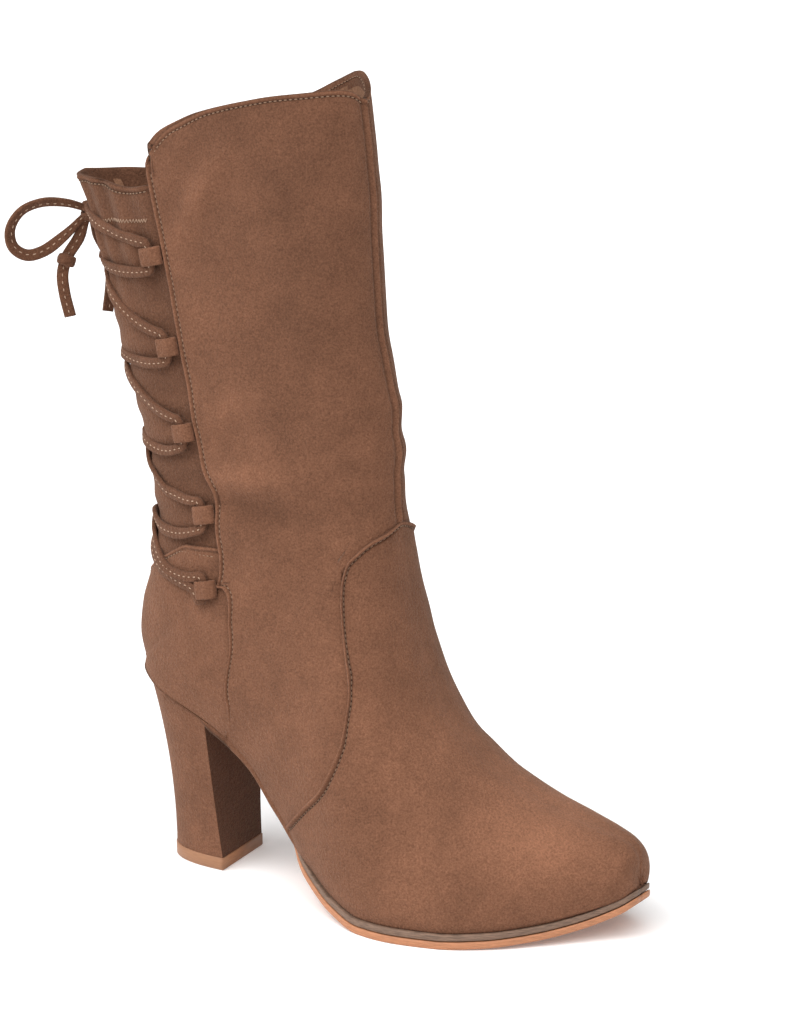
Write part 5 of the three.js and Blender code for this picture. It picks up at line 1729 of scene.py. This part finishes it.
def knot_wraps(name, center, size, way):
    """A knot of lace: strips wound round it, one over the other."""
    points, faces = [], []
    way = unit(way)
    up = np.array([0, 0, 1.0])
    third = np.cross(way, up)
    winds = [
        (way, up, 0.40, 0.62, 0.0),
        (unit(way + 0.9 * up), third, 0.36, 0.5, 0.7),
        (unit(way - 0.8 * up), unit(third + 0.3 * way), 0.33, 0.48, 1.9),
    ]
    section = 2 * math.pi * np.arange(10) / 10
    flat = signed_power(np.cos(section), 0.6)[:, None] / 2
    thick = signed_power(np.sin(section), 0.8)[:, None] * LACE_THICK * 0.55
    turns = 2 * math.pi * np.arange(31) / 30
    for axis, a, radius, breadth, phase in winds:
        a = unit(a - (a @ axis) * axis)
        b = np.cross(axis, a)
        first = len(points)
        for turn in turns:
            out = a * math.cos(turn) + b * math.sin(turn)
            middle = center + out * size * radius * (1 + 0.08 * math.sin(3 * turn + phase))
            points.extend(middle + flat * size * breadth * axis + thick * out)
        band = grid_faces(len(turns), len(section), closed=True)
        faces.extend([[first + k for k in face] for face in band])
    obj = mesh_object(name, points, faces, LACE_SUEDE)
    weld(obj, 1e-7)
    return obj


def make_bow():
    """The knot, and on each side a bow loop and an end with its own small knot."""
    knot = knot_wraps("knot", KNOT, KNOT_SIZE * 0.74, KNOT_LIE)
    finish_piece(knot, "lace_suede", "bow_knot")
    for name, way in BOW_WAYS.items():
        frames = free_lace(BOW_LOOP, unit(way), BOW_STEPS, lean=BOW_LEAN)
        frames = twisted(frames, BOW_TWIST, 1, 0.4)
        t = np.linspace(0, 1, BOW_STEPS)
        squeeze = 0.62 + 0.38 * ease(0.0, 0.25, np.minimum(t, 1 - t))
        loop = ribbon(f"bow_{name}", *frames, squeeze)
        finish_piece(loop, "lace_suede", f"bow_loop_{name}")
        way = unit(END_WAYS[name])
        ends = free_lace(LACE_END, way, END_STEPS, lean=END_LEAN)
        squeeze = 0.65 + 0.35 * ease(0.0, 0.2, np.linspace(0, 1, END_STEPS))
        tail = ribbon(f"lace_end_{name}", *ends, squeeze)
        finish_piece(tail, "lace_suede", f"lace_end_{name}_upper", f"lace_end_{name}_lower")
        center = bow_point(END_KNOT_AT, way)
        end_knot = knot_wraps(f"small_knot_{name}", center, END_KNOT_SIZE * 1.05, END_KNOT_LIE)
        finish_piece(end_knot, "lace_suede", f"end_knot_{name}")
        stitches = centre_stitches(f"bow_stitching_{name}", [frames, ends], both_faces=True)
        finish_piece(stitches, "lace_suede")


# Studio
FLOOR_HALF = 9.0

# The suns: name, place, width of the light in degrees, strength
SUNS = [
    ("key", (-0.7, -0.85, 1.2), 45, 1.6),
    ("top", (0.3, -0.5, 1.0), 60, 2.1),
]


def world_light():
    """An even world, brighter to the left and above, white below the horizon."""
    world = bpy.data.worlds.new("studio_world")
    world.use_nodes = True
    nodes, links = world.node_tree.nodes, world.node_tree.links
    place = nodes.new("ShaderNodeTexCoord")
    aim = nodes.new("ShaderNodeVectorMath")
    aim.operation = "DOT_PRODUCT"
    aim.inputs[1].default_value = (-0.55, -0.35, 0.75)
    links.new(place.outputs["Generated"], aim.inputs[0])
    split = nodes.new("ShaderNodeSeparateXYZ")
    links.new(place.outputs["Generated"], split.inputs["Vector"])
    strength = nodes.new("ShaderNodeMapRange")
    set_inputs(strength, **{"From_Min": -0.6, "From_Max": 0.9, "To_Min": 0.1, "To_Max": 0.7})
    links.new(aim.outputs["Value"], strength.inputs["Value"])
    below = nodes.new("ShaderNodeMath")
    below.operation = "LESS_THAN"
    below.inputs[1].default_value = 0.03
    links.new(split.outputs["Z"], below.inputs[0])
    total = nodes.new("ShaderNodeMix")
    total.inputs["B"].default_value = 1.1
    links.new(below.outputs["Value"], total.inputs["Factor"])
    links.new(strength.outputs["Result"], total.inputs["A"])
    links.new(total.outputs["Result"], nodes["Background"].inputs["Strength"])
    nodes["Background"].inputs["Color"].default_value = (1, 1, 1, 1)
    bpy.context.scene.world = world


def studio():
    """Even light from above and the left, and a plain pale floor."""
    scene = bpy.context.scene
    scene.view_settings.view_transform = "Standard"
    world_light()
    corners = [(x * FLOOR_HALF, y * FLOOR_HALF, 0) for x, y in ((-1, -1), (1, -1), (1, 1), (-1, 1))]
    floor_mesh = bpy.data.meshes.new("floor")
    floor_mesh.from_pydata(corners, [], [(0, 1, 2, 3)])
    floor_material, _, _, shader, _ = new_material("pale_floor", 0.9)
    set_inputs(shader, Base_Color=(0.93, 0.93, 0.93, 1), Specular_IOR_Level=0.1)
    set_inputs(shader, Emission_Color=(1, 1, 1, 1), Emission_Strength=0.12)
    floor_mesh.materials.append(floor_material)
    floor = bpy.data.objects.new("floor", floor_mesh)
    scene.collection.objects.link(floor)
    for name, place, spread, power in SUNS:
        data = bpy.data.lights.new(name, "SUN")
        data.angle = math.radians(spread)
        data.energy = power
        lamp = bpy.data.objects.new(name, data)
        lamp.rotation_euler = (-Vector(place)).to_track_quat("-Z", "Y").to_euler()
        scene.collection.objects.link(lamp)


make_bow()
for number in range(len(LOOP_ROWS) - 1):
    crossing(number)
bottom_bar()
top_strands()
finish_piece(centre_stitches("lace_stitching", all_strands), "lace_suede")

for number, loop_row in enumerate(LOOP_ROWS, start=1):
    for loop_side, loop_word in SIDE_NAMES.items():
        piece = loop_piece(loop_row, loop_side, f"loop_{loop_word}_{number}")
        finish_piece(piece, "suede", f"lace_loop_{loop_word}_{number}")

finish_piece(side_panel(-1, "outer_panel"), "suede", "upper")
finish_piece(side_panel(1, "inner_panel"), "suede")
for piece in (vamp_sheet(), gusset_sheet(), counter_sheet(), heel_lip(), zigzag()):
    finish_piece(piece, "suede")
stitched = {"upper": upper_lines(), "gusset": gusset_lines(), "collar": lining_lines()}
for part, rows in stitched.items():
    finish_piece(stitch_rows(f"{part}_stitching", rows, THREAD), "suede")
    finish_piece(hole_rows(f"{part}_needle_holes", rows), "suede")
finish_piece(panel_lining(), "lining")
finish_piece(gusset_lining(), "lining")
finish_piece(outsole_piece(), "tan_sole", "outsole")
finish_piece(welt_piece(), "welt", "welt")
finish_piece(heel_piece(), "heel_cover", "heel_block")
finish_piece(heel_top_piece(), "tan_sole", "heel_top_piece")
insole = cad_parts["insole"]
insole.data.materials.clear()
insole.data.materials.append(INSOLE_CLOTH)

studio()
